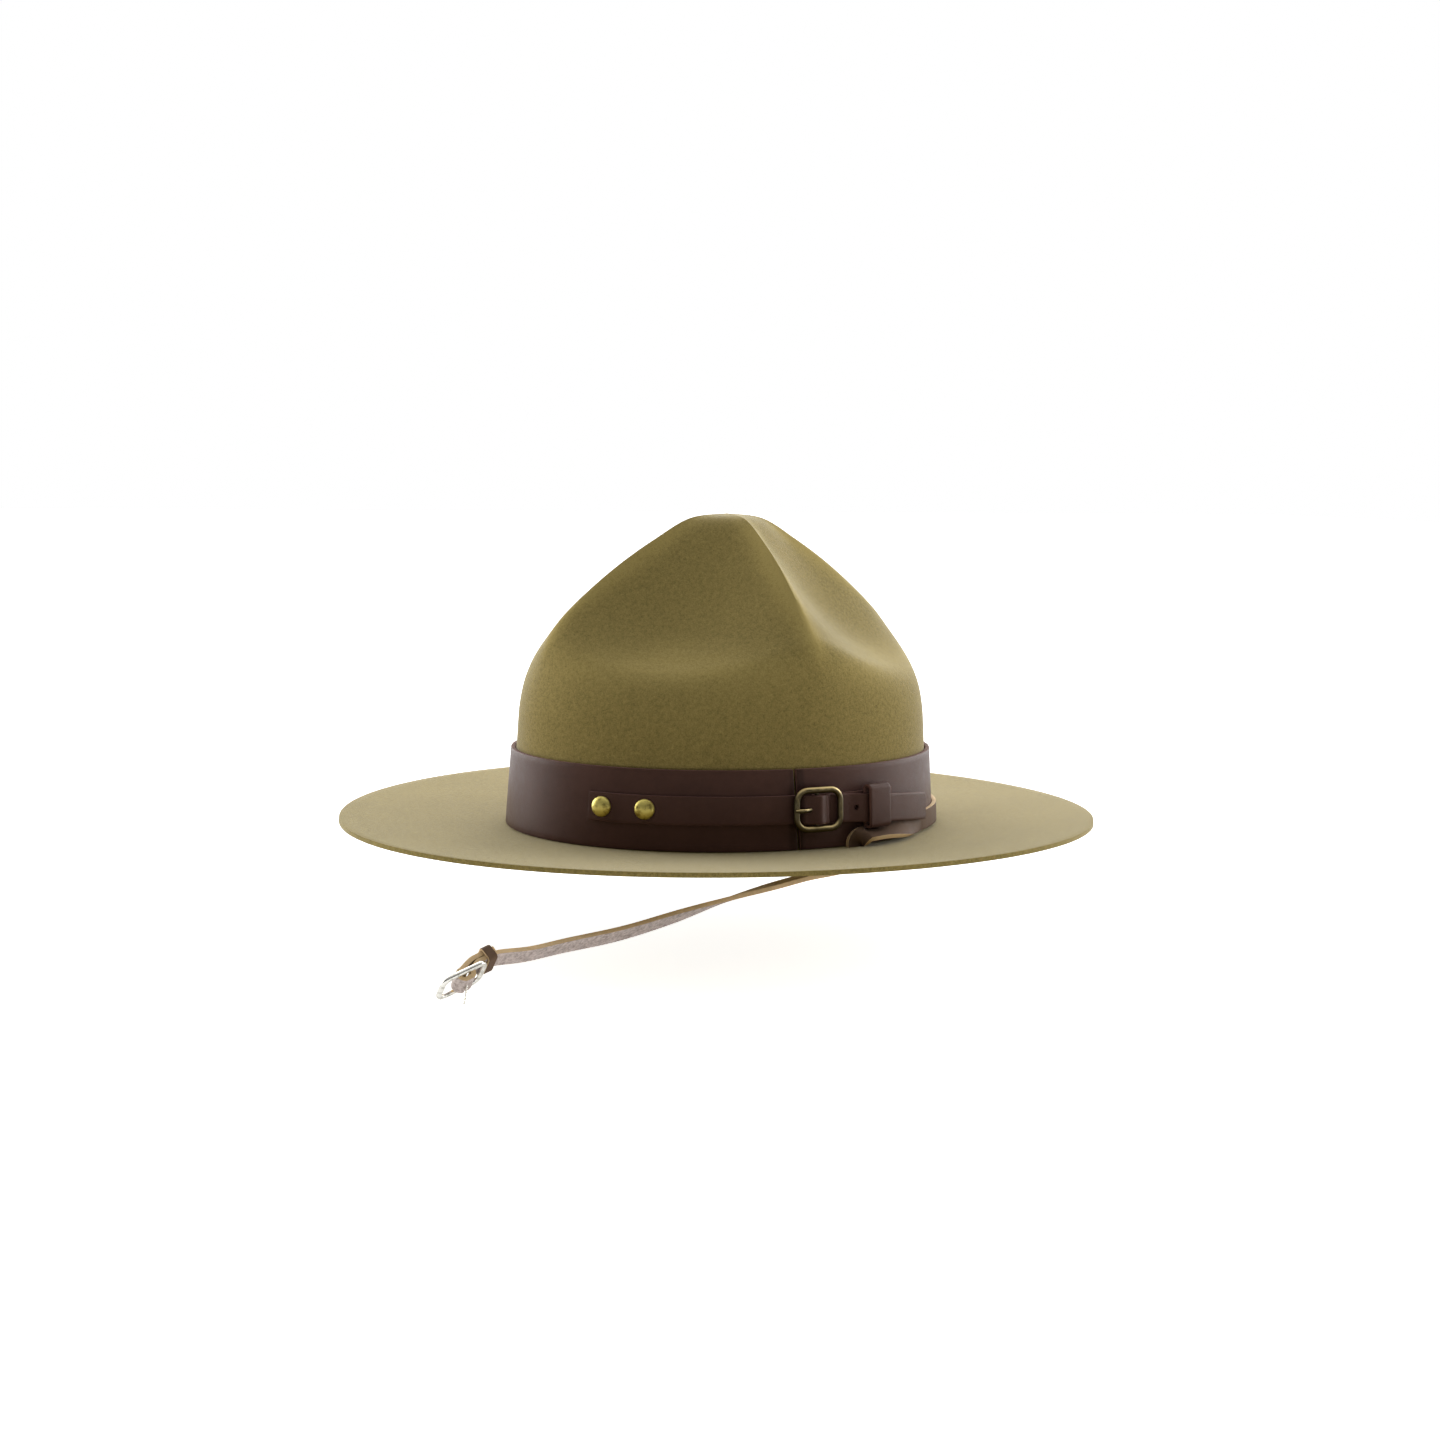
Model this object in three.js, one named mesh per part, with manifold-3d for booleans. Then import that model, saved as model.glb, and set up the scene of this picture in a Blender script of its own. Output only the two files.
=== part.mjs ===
import * as THREE from 'three';
import { mergeVertices } from 'three/addons/utils/BufferGeometryUtils.js';
import Module from 'manifold-3d';

// Felt campaign hat with a four-dent crown, a leather band and a leather chin strap. Millimetres.
// The origin is the middle of the head opening, level with the brim where the crown rises.
// +Z is up, -Y is the front and +X is the wearer's left.

// Felt
const openingLength = 196.6;
const openingWidth = 168.0;
const feltThickness = 2.0;
const crownHeight = 141.7;
const brimWidthFront = 77.8;
const brimWidthSide = 76.0;
const brimRiseFront = 4.1;
const brimRiseSide = 5.9;
const feltColumns = 72;
const crownRows = 15;
const brimRows = 4;
const crestRound = 0.05;
const crestAtFoot = 1.3;
const crestAtPeak = 0.55;

// Leather band round the crown's foot
const bandHeight = 35.3;
const bandThickness = 2.2;
const bandTopShare = 0.975;
const bandLift = 0.4;
const seamAlong = -12.4;
const seamGap = 1.2;
const seamSlant = 2.4;
const bandColumns = 84;

// Narrow strap over the band
const strapWidth = 12.3;
const strapThickness = 1.7;
const strapHeight = 18.2;
const strapDip = 5.2;
const strapCorner = 2.0;
const strapTipRise = 0.5;
const strapLongStep = 7.5;
const strapShortStep = 1.9;
const strapFront = -104.3;
const strapTip = 65.0;
const rivetAlong = { band_rivet_front: -97.9, band_rivet_rear: -78.8 };
const rivetHeadDiameter = 9.0;
const rivetHeadHeight = 2.6;
const rivetRim = 0.5;
const rivetShankDiameter = 3.0;
const spareHoleAlong = 15.3;
const punchDiameter = 2.4;

// Band buckle, its tab and the keeper
const buckleAlong = -4.35;
const buckleLength = 23.4;
const buckleWidth = 19.6;
const buckleBarWidth = 2.8;
const buckleBarDepth = 2.5;
const buckleCorner = 6.3;
const centreBarDiameter = 1.9;
const prongWidth = 1.9;
const prongDepth = 1.1;
const tabThickness = 1.0;
const tabWidth = 12.0;
const tabReach = 44.8;
const keeperAlong = 26.9;
const keeperLength = 12.2;
const keeperHeight = 19.5;
const keeperRise = 1.0;
const keeperThickness = 1.3;
const keeperRoom = 0.6;
const keeperRound = 2.4;

// Chin strap, its keeper and its buckle
const chinWidth = 8.6;
const chinThickness = 1.9;
const slitAlong = 16.1;
const slitClearance = 0.6;
const slitRise = 1.1;
const chinTurnRadius = 5.2;
const chinHeight = 5.7;
const chinTurnLean = 72.0;
const chinReach = 200.0;
const chinHoleSpacing = 12.0;
const chinHoleCount = 6;
const chinHoleFirst = 22.0;
const freeSteps = 24;
const hiddenSteps = 14;
const backSteps = 22;
const chinBuckleLength = 22.0;
const chinBuckleWidth = 15.0;
const chinBarWidth = 2.4;
const chinBarDepth = 2.2;
const chinCorner = 4.4;
const chinCentreBar = 2.0;
const chinProngWidth = 1.8;
const chinProngDepth = 1.2;
const chinProngHang = 49.6;
const chinKeeperLength = 4.2;
const chinKeeperThickness = 1.0;
const chinKeeperRoom = 0.4;
const chinKeeperRound = 1.8;
const behindBuckle = 1.2;
const foldTail = 1.5;

// Room left between neighbouring pieces
const gap = 0.3;

const UP = new THREE.Vector3(0, 0, 1);
const V = (x, y, z) => new THREE.Vector3(x, y, z);
const mix = THREE.MathUtils.lerp;
const radians = THREE.MathUtils.degToRad;

// Crown sections from the foot to the peak. Out is a share of the oval at the foot, up a share of
// the crown's height. There is a line for the front and back ridges, the side ridges and the dents.
const crownSections = [
  { frontOut: 1.000, frontUp: 0.000, sideOut: 1.000, sideUp: 0.000, dentOut: 1.000, dentUp: 0.000 },
  { frontOut: 0.986, frontUp: 0.140, sideOut: 0.986, sideUp: 0.140, dentOut: 0.986, dentUp: 0.140 },
  { frontOut: 0.973, frontUp: 0.270, sideOut: 0.973, sideUp: 0.270, dentOut: 0.973, dentUp: 0.270 },
  { frontOut: 0.965, frontUp: 0.394, sideOut: 0.970, sideUp: 0.400, dentOut: 0.958, dentUp: 0.385 },
  { frontOut: 0.935, frontUp: 0.505, sideOut: 0.962, sideUp: 0.520, dentOut: 0.925, dentUp: 0.468 },
  { frontOut: 0.895, frontUp: 0.607, sideOut: 0.918, sideUp: 0.613, dentOut: 0.865, dentUp: 0.520 },
  { frontOut: 0.818, frontUp: 0.684, sideOut: 0.828, sideUp: 0.676, dentOut: 0.755, dentUp: 0.562 },
  { frontOut: 0.688, frontUp: 0.765, sideOut: 0.705, sideUp: 0.757, dentOut: 0.612, dentUp: 0.622 },
  { frontOut: 0.534, frontUp: 0.846, sideOut: 0.553, sideUp: 0.843, dentOut: 0.465, dentUp: 0.715 },
  { frontOut: 0.366, frontUp: 0.920, sideOut: 0.385, sideUp: 0.918, dentOut: 0.325, dentUp: 0.838 },
  { frontOut: 0.190, frontUp: 0.985, sideOut: 0.197, sideUp: 0.984, dentOut: 0.165, dentUp: 0.972 },
  { frontOut: 0.000, frontUp: 1.000, sideOut: 0.000, sideUp: 1.000, dentOut: 0.000, dentUp: 1.000 },
];

const footFront = openingLength / 2 + feltThickness;
const footSide = openingWidth / 2 + feltThickness;

function line(outKey, upKey) {
  return new THREE.SplineCurve(crownSections.map((s) => new THREE.Vector2(s[outKey], s[upKey])));
}

const frontLine = line('frontOut', 'frontUp');
const sideLine = line('sideOut', 'sideUp');
const dentLine = line('dentOut', 'dentUp');

// A point of the crown's outer face. turn goes round from the left side, share from foot to peak.
function crownPoint(turn, share) {
  const swell = Math.hypot(Math.sin(2 * turn), crestRound) - crestRound;
  const wave = swell / (Math.hypot(1, crestRound) - crestRound);
  const dent = wave ** mix(crestAtFoot, crestAtPeak, share);
  const ridge = sideLine.getPoint(share).lerp(frontLine.getPoint(share), Math.sin(turn) ** 2);
  const place = ridge.lerp(dentLine.getPoint(share), dent);
  return V(footSide * place.x * Math.cos(turn), footFront * place.x * Math.sin(turn), crownHeight * place.y);
}

// A point of the brim's upper face. share goes from the crown's foot to the rim.
function brimPoint(turn, share) {
  const across = share * mix(brimWidthSide, brimWidthFront, Math.sin(turn) ** 2);
  const rise = mix(brimRiseSide, brimRiseFront, Math.sin(turn) ** 2) * share ** 1.4;
  return V((footSide + across) * Math.cos(turn), (footFront + across) * Math.sin(turn), rise);
}

// Joins rows of points into a closed skin. Each row runs round, a row of one point is a pole,
// and wrap joins the last row to the first.
function skin(rows, wrap) {
  const position = [];
  const first = rows.map((row) => {
    const start = position.length / 3;
    row.forEach((p) => position.push(p.x, p.y, p.z));
    return start;
  });
  const index = [];
  const triangle = (a, b, c) => {
    if (a !== b && b !== c && c !== a) {
      index.push(a, b, c);
    }
  };
  const pairs = wrap ? rows.length : rows.length - 1;
  for (let r = 0; r < pairs; r += 1) {
    const s = (r + 1) % rows.length;
    const count = Math.max(rows[r].length, rows[s].length);
    for (let i = 0; i < count; i += 1) {
      const a = first[r] + (i % rows[r].length);
      const b = first[r] + ((i + 1) % rows[r].length);
      const c = first[s] + ((i + 1) % rows[s].length);
      const d = first[s] + (i % rows[s].length);
      triangle(a, b, c);
      triangle(a, c, d);
    }
  }
  const geometry = new THREE.BufferGeometry();
  geometry.setAttribute('position', new THREE.Float32BufferAttribute(position, 3));
  geometry.setIndex(index);
  return facingOut(geometry);
}

// Turns a closed geometry's triangles round if they enclose a negative volume.
function facingOut(geometry) {
  const place = geometry.getAttribute('position');
  const index = geometry.getIndex();
  const p = [V(), V(), V()];
  let volume = 0;
  for (let i = 0; i < index.count; i += 3) {
    p.forEach((corner, k) => corner.fromBufferAttribute(place, index.getX(i + k)));
    volume += p[0].dot(p[1].clone().cross(p[2]));
  }
  if (volume < 0) {
    for (let i = 0; i < index.count; i += 3) {
      const kept = index.getX(i + 1);
      index.setX(i + 1, index.getX(i + 2));
      index.setX(i + 2, kept);
    }
  }
  return geometry;
}

function merged(geometry) {
  const bare = new THREE.BufferGeometry();
  bare.setAttribute('position', geometry.getAttribute('position'));
  bare.setIndex(geometry.getIndex());
  return facingOut(mergeVertices(bare, 1e-4));
}

const wasm = await Module();
wasm.setup();

function solid(geometry) {
  const whole = merged(geometry);
  const vertProperties = new Float32Array(whole.getAttribute('position').array);
  const triVerts = new Uint32Array(whole.getIndex().array);
  return new wasm.Manifold(new wasm.Mesh({ numProp: 3, vertProperties, triVerts }));
}

function geometryOf(body) {
  const mesh = body.getMesh();
  const geometry = new THREE.BufferGeometry();
  geometry.setAttribute('position', new THREE.BufferAttribute(new Float32Array(mesh.vertProperties), 3));
  geometry.setIndex(new THREE.BufferAttribute(new Uint32Array(mesh.triVerts), 1));
  return geometry;
}

function cut(geometry, tools) {
  return geometryOf(tools.reduce((body, tool) => body.subtract(solid(tool)), solid(geometry)));
}

function join(geometries) {
  return geometryOf(geometries.slice(1).reduce((body, next) => body.add(solid(next)), solid(geometries[0])));
}

// The band's outer face as a flat sheet that is wrapped on the crown: along is the length from the
// left side towards the back, up the height above the brim, and out the distance from the face.
function ovalShare(up) {
  return 1 - (1 - bandTopShare) * (up / bandHeight);
}

function bandPoint(turn, up, out) {
  const reach = gap + bandThickness + out;
  const share = ovalShare(up);
  return V((footSide * share + reach) * Math.cos(turn), (footFront * share + reach) * Math.sin(turn), up);
}

const arcSteps = 720;
const arcTable = [0];
for (let i = 1; i <= arcSteps; i += 1) {
  const before = bandPoint((2 * Math.PI * (i - 1)) / arcSteps, strapHeight, 0);
  const after = bandPoint((2 * Math.PI * i) / arcSteps, strapHeight, 0);
  arcTable.push(arcTable[i - 1] + before.distanceTo(after));
}
const bandLength = arcTable[arcSteps];

function turnAt(along) {
  const laps = Math.floor(along / bandLength);
  const rest = along - laps * bandLength;
  let i = 1;
  while (i < arcSteps && arcTable[i] < rest) {
    i += 1;
  }
  const share = (rest - arcTable[i - 1]) / (arcTable[i] - arcTable[i - 1]);
  return 2 * Math.PI * (laps + (i - 1 + share) / arcSteps);
}

function onBand(along, up, out) {
  return bandPoint(turnAt(along), up, out);
}

// Directions on the band: along it, up its face and out of it.
function bandFrame(along, up) {
  const origin = onBand(along, up, 0);
  const ahead = onBand(along + 0.5, up, 0).sub(onBand(along - 0.5, up, 0)).normalize();
  const rise = onBand(along, up + 0.5, 0).sub(onBand(along, up - 0.5, 0)).normalize();
  const out = ahead.clone().cross(rise).normalize();
  return { origin, ahead, rise: out.clone().cross(ahead), out };
}

// Wraps a geometry modelled flat, with X along, Y up and Z out, on the band.
function wrapped(geometry) {
  const place = geometry.getAttribute('position');
  const p = V();
  for (let i = 0; i < place.count; i += 1) {
    p.fromBufferAttribute(place, i);
    const q = onBand(p.x, p.y, p.z);
    place.setXYZ(i, q.x, q.y, q.z);
  }
  return geometry;
}

// Sweeps a closed section through stations with an origin and two directions, side and face.
function sweep(stations, section, closed) {
  const rows = stations.map(({ origin, side, face, squeeze = 1 }) => section.map(([s, f]) => (
    origin.clone().addScaledVector(side, s * squeeze).addScaledVector(face, f)
  )));
  if (closed) {
    return skin(rows, true);
  }
  const middle = (row) => row.reduce((sum, p) => sum.add(p), V()).divideScalar(row.length);
  return skin([[middle(rows[0])], ...rows, [middle(rows[rows.length - 1])]], false);
}

function bar(width, depth, sides = 4) {
  if (sides === 4) {
    return [[-width / 2, -depth / 2], [width / 2, -depth / 2], [width / 2, depth / 2], [-width / 2, depth / 2]];
  }
  return Array.from({ length: sides }, (_, i) => {
    const angle = (2 * Math.PI * (i + 0.5)) / sides;
    return [(width / 2) * Math.cos(angle), (depth / 2) * Math.sin(angle)];
  });
}

// A rounded rectangle as a shape, centred on a point.
function roundedBox(cx, cy, length, height, radius) {
  const x = cx - length / 2;
  const y = cy - height / 2;
  const shape = new THREE.Shape();
  shape.moveTo(x + radius, y);
  shape.lineTo(x + length - radius, y);
  shape.absarc(x + length - radius, y + radius, radius, -Math.PI / 2, 0, false);
  shape.lineTo(x + length, y + height - radius);
  shape.absarc(x + length - radius, y + height - radius, radius, 0, Math.PI / 2, false);
  shape.lineTo(x + radius, y + height);
  shape.absarc(x + radius, y + height - radius, radius, Math.PI / 2, Math.PI, false);
  shape.lineTo(x, y + radius);
  shape.absarc(x + radius, y + radius, radius, Math.PI, Math.PI * 1.5, false);
  return shape;
}

// A flat block modelled at its place, subdivided along so that it wraps.
function block(from, to, steps) {
  const size = to.clone().sub(from);
  const geometry = new THREE.BoxGeometry(size.x, size.y, size.z, steps, 1, 1);
  const middle = from.clone().add(to).multiplyScalar(0.5);
  return merged(geometry.translate(middle.x, middle.y, middle.z));
}

// A round pin between two points.
function pin(from, to, diameter, sides) {
  const direction = to.clone().sub(from);
  const geometry = new THREE.CylinderGeometry(diameter / 2, diameter / 2, direction.length(), sides);
  geometry.applyQuaternion(new THREE.Quaternion().setFromUnitVectors(V(0, 1, 0), direction.normalize()));
  const middle = from.clone().add(to).multiplyScalar(0.5);
  return merged(geometry.translate(middle.x, middle.y, middle.z));
}

// Felt: the outer face from peak to rim, and the inner face a felt thickness behind it.
function feltBody() {
  const turns = Array.from({ length: feltColumns }, (_, i) => (2 * Math.PI * i) / feltColumns);
  const outer = [[V(0, 0, crownHeight)]];
  for (let r = crownRows - 1; r >= 0; r -= 1) {
    outer.push(turns.map((turn) => crownPoint(turn, r / crownRows)));
  }
  for (let r = 1; r <= brimRows; r += 1) {
    outer.push(turns.map((turn) => brimPoint(turn, r / brimRows)));
  }
  const faceNormal = (r, i) => {
    const row = outer[r + 1];
    const around = row[(i + 1) % feltColumns].clone().sub(row[(i + feltColumns - 1) % feltColumns]);
    const here = outer[r][i % outer[r].length];
    return around.cross(here.clone().sub(row[i])).normalize();
  };
  const inner = outer.map((row, r) => {
    if (row.length === 1) {
      return [row[0].clone().addScaledVector(UP, -feltThickness)];
    }
    return row.map((p, i) => {
      const above = faceNormal(r - 1, i);
      const below = r < outer.length - 1 ? faceNormal(r, i) : above;
      const mitre = above.clone().add(below).divideScalar(1 + above.dot(below));
      return p.clone().addScaledVector(mitre, -feltThickness);
    });
  });
  const shell = skin([...outer, ...inner.reverse()], false);
  return cut(shell, [1, -1].map((side) => slitTool(side)));
}

// The cutter of a strap slit, on the left side for 1 and on the right side for -1.
function slitTool(side) {
  const { origin, ahead, out } = bandFrame(slitAlong, 0);
  const middle = origin.clone().addScaledVector(out, gap + chinThickness / 2);
  const long = chinWidth + 2 * slitClearance;
  const wide = chinThickness + 2 * slitClearance;
  const geometry = new THREE.BoxGeometry(wide, long, 6 * feltThickness);
  geometry.rotateZ(Math.atan2(ahead.y, ahead.x) - Math.PI / 2);
  geometry.translate(middle.x, middle.y, 0);
  return merged(side > 0 ? geometry : geometry.scale(-1, 1, 1));
}

// The band, butted at its seam under the buckle.
function hatBand() {
  const from = seamAlong + seamGap / 2;
  const to = seamAlong + bandLength - seamGap / 2;
  const rows = [];
  for (let i = 0; i <= bandColumns; i += 1) {
    const along = mix(from, to, i / bandColumns);
    rows.push([[bandLift, 0], [bandLift, -bandThickness], [bandHeight, -bandThickness], [bandHeight, 0]]
      .map(([up, out]) => onBand(along + seamSlant * (0.5 - up / bandHeight), up, out)));
  }
  const middle = (row) => row.reduce((sum, p) => sum.add(p), V()).divideScalar(row.length);
  const strip = skin([[middle(rows[0])], ...rows, [middle(rows[rows.length - 1])]], false);
  return cut(strip, Object.values(rivetAlong).map((along) => rivetHole(along)));
}

function rivetHole(along) {
  const { origin, out } = bandFrame(along, strapHeight);
  const reach = 3 * bandThickness;
  const from = origin.clone().addScaledVector(out, -reach);
  const to = origin.clone().addScaledVector(out, reach);
  return pin(from, to, rivetShankDiameter + 2 * gap, 12);
}

// Heights above the band's face of what lies under the strap.
const loopRadius = centreBarDiameter / 2 + gap + tabThickness;
const centreBarOut = gap + loopRadius;
const overTab = 2 * gap + tabThickness;
const overKeeper = overTab + keeperThickness + gap;
const overChin = 2 * gap + chinThickness + strapTipRise;
const overLoop = centreBarOut + loopRadius + gap;
const barOut = overTab + strapThickness + gap + buckleBarDepth / 2;
const halfBuckle = buckleLength / 2;

// The strap's underside above the band, at lengths along it.
const strapRun = [
  { part: 'front', along: strapFront, out: gap },
  { part: 'before the buckle', along: buckleAlong - 1.35 * halfBuckle, out: gap },
  { part: 'front bar', along: buckleAlong - 0.86 * halfBuckle, out: 1.3 * gap },
  { part: 'behind the front bar', along: buckleAlong - 0.5 * halfBuckle, out: overLoop * 0.62 },
  { part: 'centre bar', along: buckleAlong, out: overLoop },
  { part: 'before the rear bar', along: buckleAlong + 0.30 * halfBuckle, out: overLoop * 0.72 },
  { part: 'rear bar', along: buckleAlong + 0.58 * halfBuckle, out: overTab },
  { part: 'behind the buckle', along: buckleAlong + 1.3 * halfBuckle, out: overTab },
  { part: 'keeper', along: keeperAlong - keeperLength / 2, out: overKeeper },
  { part: 'keeper end', along: keeperAlong + keeperLength / 2, out: overKeeper },
  { part: 'over the chin strap', along: keeperAlong + 1.4 * keeperLength, out: overChin },
  { part: 'tip', along: strapTip, out: overChin },
];

// The strap's middle line: level as far as the buckle, then lower towards the tip.
function strapUp(along) {
  const share = Math.max(0, (along - buckleAlong) / (strapTip - buckleAlong));
  return strapHeight - strapDip * share ** 1.5;
}

function strapOut(along) {
  let i = 1;
  while (i < strapRun.length - 1 && strapRun[i].along < along) {
    i += 1;
  }
  const a = strapRun[i - 1];
  const b = strapRun[i];
  const share = THREE.MathUtils.smoothstep(along, a.along, b.along);
  return mix(a.out, b.out, share);
}

// The narrow strap, square at the riveted end and with round corners at the tip.
function bandStrap() {
  const fine = [buckleAlong - 1.35 * halfBuckle, keeperAlong - keeperLength / 2];
  const alongs = [strapFront];
  while (alongs[alongs.length - 1] < strapTip) {
    const last = alongs[alongs.length - 1];
    alongs.push(Math.min(strapTip, last + (last > fine[0] && last < fine[1] ? strapShortStep : strapLongStep)));
  }
  const ends = [strapTip - strapCorner, strapTip - strapCorner * 0.3, strapTip];
  const kept = alongs.filter((along) => along < ends[0] - strapCorner / 2).concat(ends);
  const half = strapWidth / 2;
  const rows = kept.map((along) => {
    const short = Math.max(0, along - ends[0]);
    const narrow = half - strapCorner + Math.sqrt(Math.max(0, strapCorner * strapCorner - short * short));
    const out = strapOut(along);
    return [[-narrow, 0], [narrow, 0], [narrow, strapThickness], [-narrow, strapThickness]]
      .map(([up, thick]) => onBand(along, strapUp(along) + up, out + thick));
  });
  const middle = (row) => row.reduce((sum, p) => sum.add(p), V()).divideScalar(row.length);
  const strip = skin([[middle(rows[0])], ...rows, [middle(rows[rows.length - 1])]], false);
  const prongSlot = wrapped(block(
    V(buckleAlong - 0.66 * halfBuckle, strapHeight - prongWidth / 2 - gap, 0),
    V(buckleAlong - 0.03 * halfBuckle, strapHeight + prongWidth / 2 + gap, 3 * overLoop),
    1,
  ));
  const spare = bandFrame(spareHoleAlong, strapUp(spareHoleAlong));
  const hole = pin(
    spare.origin.clone().addScaledVector(spare.out, -strapThickness),
    spare.origin.clone().addScaledVector(spare.out, 3 * overTab),
    punchDiameter,
    10,
  );
  return cut(strip, [...Object.values(rivetAlong).map((along) => rivetHole(along)), prongSlot, hole]);
}

// A domed rivet: head on the strap, shank through the strap and the band.
function rivet(along) {
  const seat = gap + strapThickness + gap;
  const profile = [[0, -bandThickness], [rivetShankDiameter / 2, -bandThickness], [rivetShankDiameter / 2, seat]];
  const head = 5;
  for (let i = 0; i <= head; i += 1) {
    const angle = (Math.PI / 2) * (i / head);
    const rise = seat + rivetRim + (rivetHeadHeight - rivetRim) * Math.sin(angle);
    profile.push([(rivetHeadDiameter / 2) * Math.cos(angle), i === 0 ? seat : rise]);
  }
  profile[profile.length - 1][0] = 0;
  const lathe = new THREE.LatheGeometry(profile.map(([r, h]) => new THREE.Vector2(r, h)), 16);
  const { origin, ahead, rise, out } = bandFrame(along, strapHeight);
  const basis = new THREE.Matrix4().makeBasis(rise, out, ahead).setPosition(origin);
  return merged(lathe.applyMatrix4(basis));
}

// A buckle's ring: an oval section round a rectangle with round corners, in the XY plane.
function buckleRing(length, width, barWidth, barDepth, corner, cornerSteps) {
  const inset = barWidth / 2;
  const outline = roundedBox(0, 0, length - 2 * inset, width - 2 * inset, corner - inset);
  const path = outline.getPoints(cornerSteps).slice(0, -1);
  const points = path.filter((p, i) => p.distanceTo(path[(i + 1) % path.length]) > 0.01);
  const stations = points.map((p, i) => {
    const ahead = points[(i + 1) % points.length].clone().sub(points[(i + points.length - 1) % points.length]);
    ahead.normalize();
    return { origin: V(p.x, p.y, 0), side: V(ahead.y, -ahead.x, 0), face: V(0, 0, 1) };
  });
  return sweep(stations, bar(barWidth, barDepth, 8), true);
}

// The band's buckle: its ring and the lower centre bar, carried by two short cranks.
function bandBuckleFrame() {
  const ring = buckleRing(buckleLength, buckleWidth, buckleBarWidth, buckleBarDepth, buckleCorner, 4);
  ring.translate(buckleAlong, strapHeight, barOut);
  const reach = buckleWidth / 2 - buckleBarWidth / 2;
  const centre = pin(
    V(buckleAlong, strapHeight - reach, centreBarOut),
    V(buckleAlong, strapHeight + reach, centreBarOut),
    centreBarDiameter,
    10,
  );
  const cranks = [-1, 1].map((side) => pin(
    V(buckleAlong, strapHeight + side * (reach - gap), centreBarOut - centreBarDiameter / 2),
    V(buckleAlong, strapHeight + side * (reach - gap), barOut),
    centreBarDiameter,
    8,
  ));
  return wrapped(join([ring, centre, ...cranks]));
}

// A leather tab that lies under the strap and loops round the centre bar, split for the prong.
function bandBuckleTab() {
  const inner = centreBarDiameter / 2 + gap;
  const steps = 7;
  const arc = (radius, from, to) => Array.from({ length: steps + 1 }, (_, i) => {
    const angle = mix(from, to, i / steps);
    return new THREE.Vector2(buckleAlong + radius * Math.cos(angle), centreBarOut + radius * Math.sin(angle));
  });
  const end = buckleAlong + tabReach;
  const reachSteps = 8;
  const start = buckleAlong + loopRadius;
  const run = Array.from({ length: reachSteps + 1 }, (_, i) => mix(end, start, i / reachSteps));
  const outline = [
    ...run.slice(0, -1).reverse().map((along) => new THREE.Vector2(along, gap)),
    ...run.map((along) => new THREE.Vector2(along, gap + tabThickness)),
    ...arc(inner, -Math.PI / 2, -2 * Math.PI + radians(20)),
    ...arc(loopRadius, -2 * Math.PI + radians(20), -Math.PI / 2),
  ];
  const shape = new THREE.Shape(outline);
  const geometry = new THREE.ExtrudeGeometry(shape, { depth: tabWidth, bevelEnabled: false, steps: 1 });
  geometry.rotateX(Math.PI / 2).translate(0, tabWidth / 2, 0);
  geometry.scale(1, -1, 1);
  const flat = merged(geometry).translate(0, strapHeight, 0);
  const notch = block(
    V(buckleAlong - 1.5 * loopRadius, strapHeight - prongWidth / 2 - gap, gap + 1.05 * tabThickness),
    V(buckleAlong + 1.5 * loopRadius, strapHeight + prongWidth / 2 + gap, 1.2 * overLoop),
    1,
  );
  return wrapped(cut(flat, [notch]));
}

// The prong hooks over the centre bar, comes up through the strap and lies on the front bar.
function bandBuckleProng() {
  const hook = centreBarDiameter / 2 + gap + prongDepth / 2;
  const onBar = barOut + buckleBarDepth / 2 + gap + prongDepth / 2;
  const run = [
    V(buckleAlong + hook, strapHeight, centreBarOut),
    V(buckleAlong + hook * 0.7, strapHeight, centreBarOut + hook * 0.7),
    V(buckleAlong, strapHeight, centreBarOut + hook),
    V(buckleAlong - 0.28 * halfBuckle, strapHeight, centreBarOut + 1.3 * hook),
    V(buckleAlong - 0.62 * halfBuckle, strapHeight, onBar - 0.3 * gap),
    V(buckleAlong - 0.86 * halfBuckle, strapHeight, onBar),
    V(buckleAlong - 0.99 * halfBuckle, strapHeight, onBar - 0.4 * gap),
  ];
  const stations = run.map((origin, i) => {
    const ahead = run[Math.min(i + 1, run.length - 1)].clone().sub(run[Math.max(i - 1, 0)]).normalize();
    return { origin, side: V(0, 1, 0), face: ahead.clone().cross(V(0, 1, 0)) };
  });
  return wrapped(sweep(stations, bar(prongWidth, prongDepth, 8), false));
}

// A leather loop round the strap: a rounded frame of leather, as long as the loop is.
function bandKeeper() {
  const depth = overKeeper + strapThickness + keeperRoom + keeperThickness - overTab;
  const middle = overTab + depth / 2;
  const outline = roundedBox(0, middle, keeperHeight, depth, keeperRound);
  const insideHeight = keeperHeight - 2 * keeperThickness;
  const insideRound = keeperRound - keeperThickness;
  outline.holes.push(roundedBox(0, middle, insideHeight, depth - 2 * keeperThickness, insideRound));
  const geometry = new THREE.ExtrudeGeometry(outline, {
    depth: keeperLength, bevelEnabled: false, steps: 3, curveSegments: 4,
  });
  const turn = new THREE.Matrix4().makeBasis(V(0, 1, 0), V(0, 0, 1), V(1, 0, 0));
  const middleUp = strapUp(keeperAlong) + keeperRise;
  geometry.applyMatrix4(turn).translate(keeperAlong - keeperLength / 2, middleUp, 0);
  return wrapped(merged(geometry));
}

// How the chin strap settles on the band behind the slit: lengths on from its turn and heights, as
// shares of its width, and the degrees by which its lower edge leans out.
const settling = [
  { further: 0.60, up: 0.61, lean: 74 },
  { further: 1.30, up: 0.62, lean: 68 },
  { further: 2.10, up: 0.63, lean: 54 },
  { further: 3.00, up: 0.64, lean: 34 },
  { further: 3.95, up: 0.65, lean: 14 },
  { further: 4.90, up: chinHeight / chinWidth, lean: 0 },
];

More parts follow.
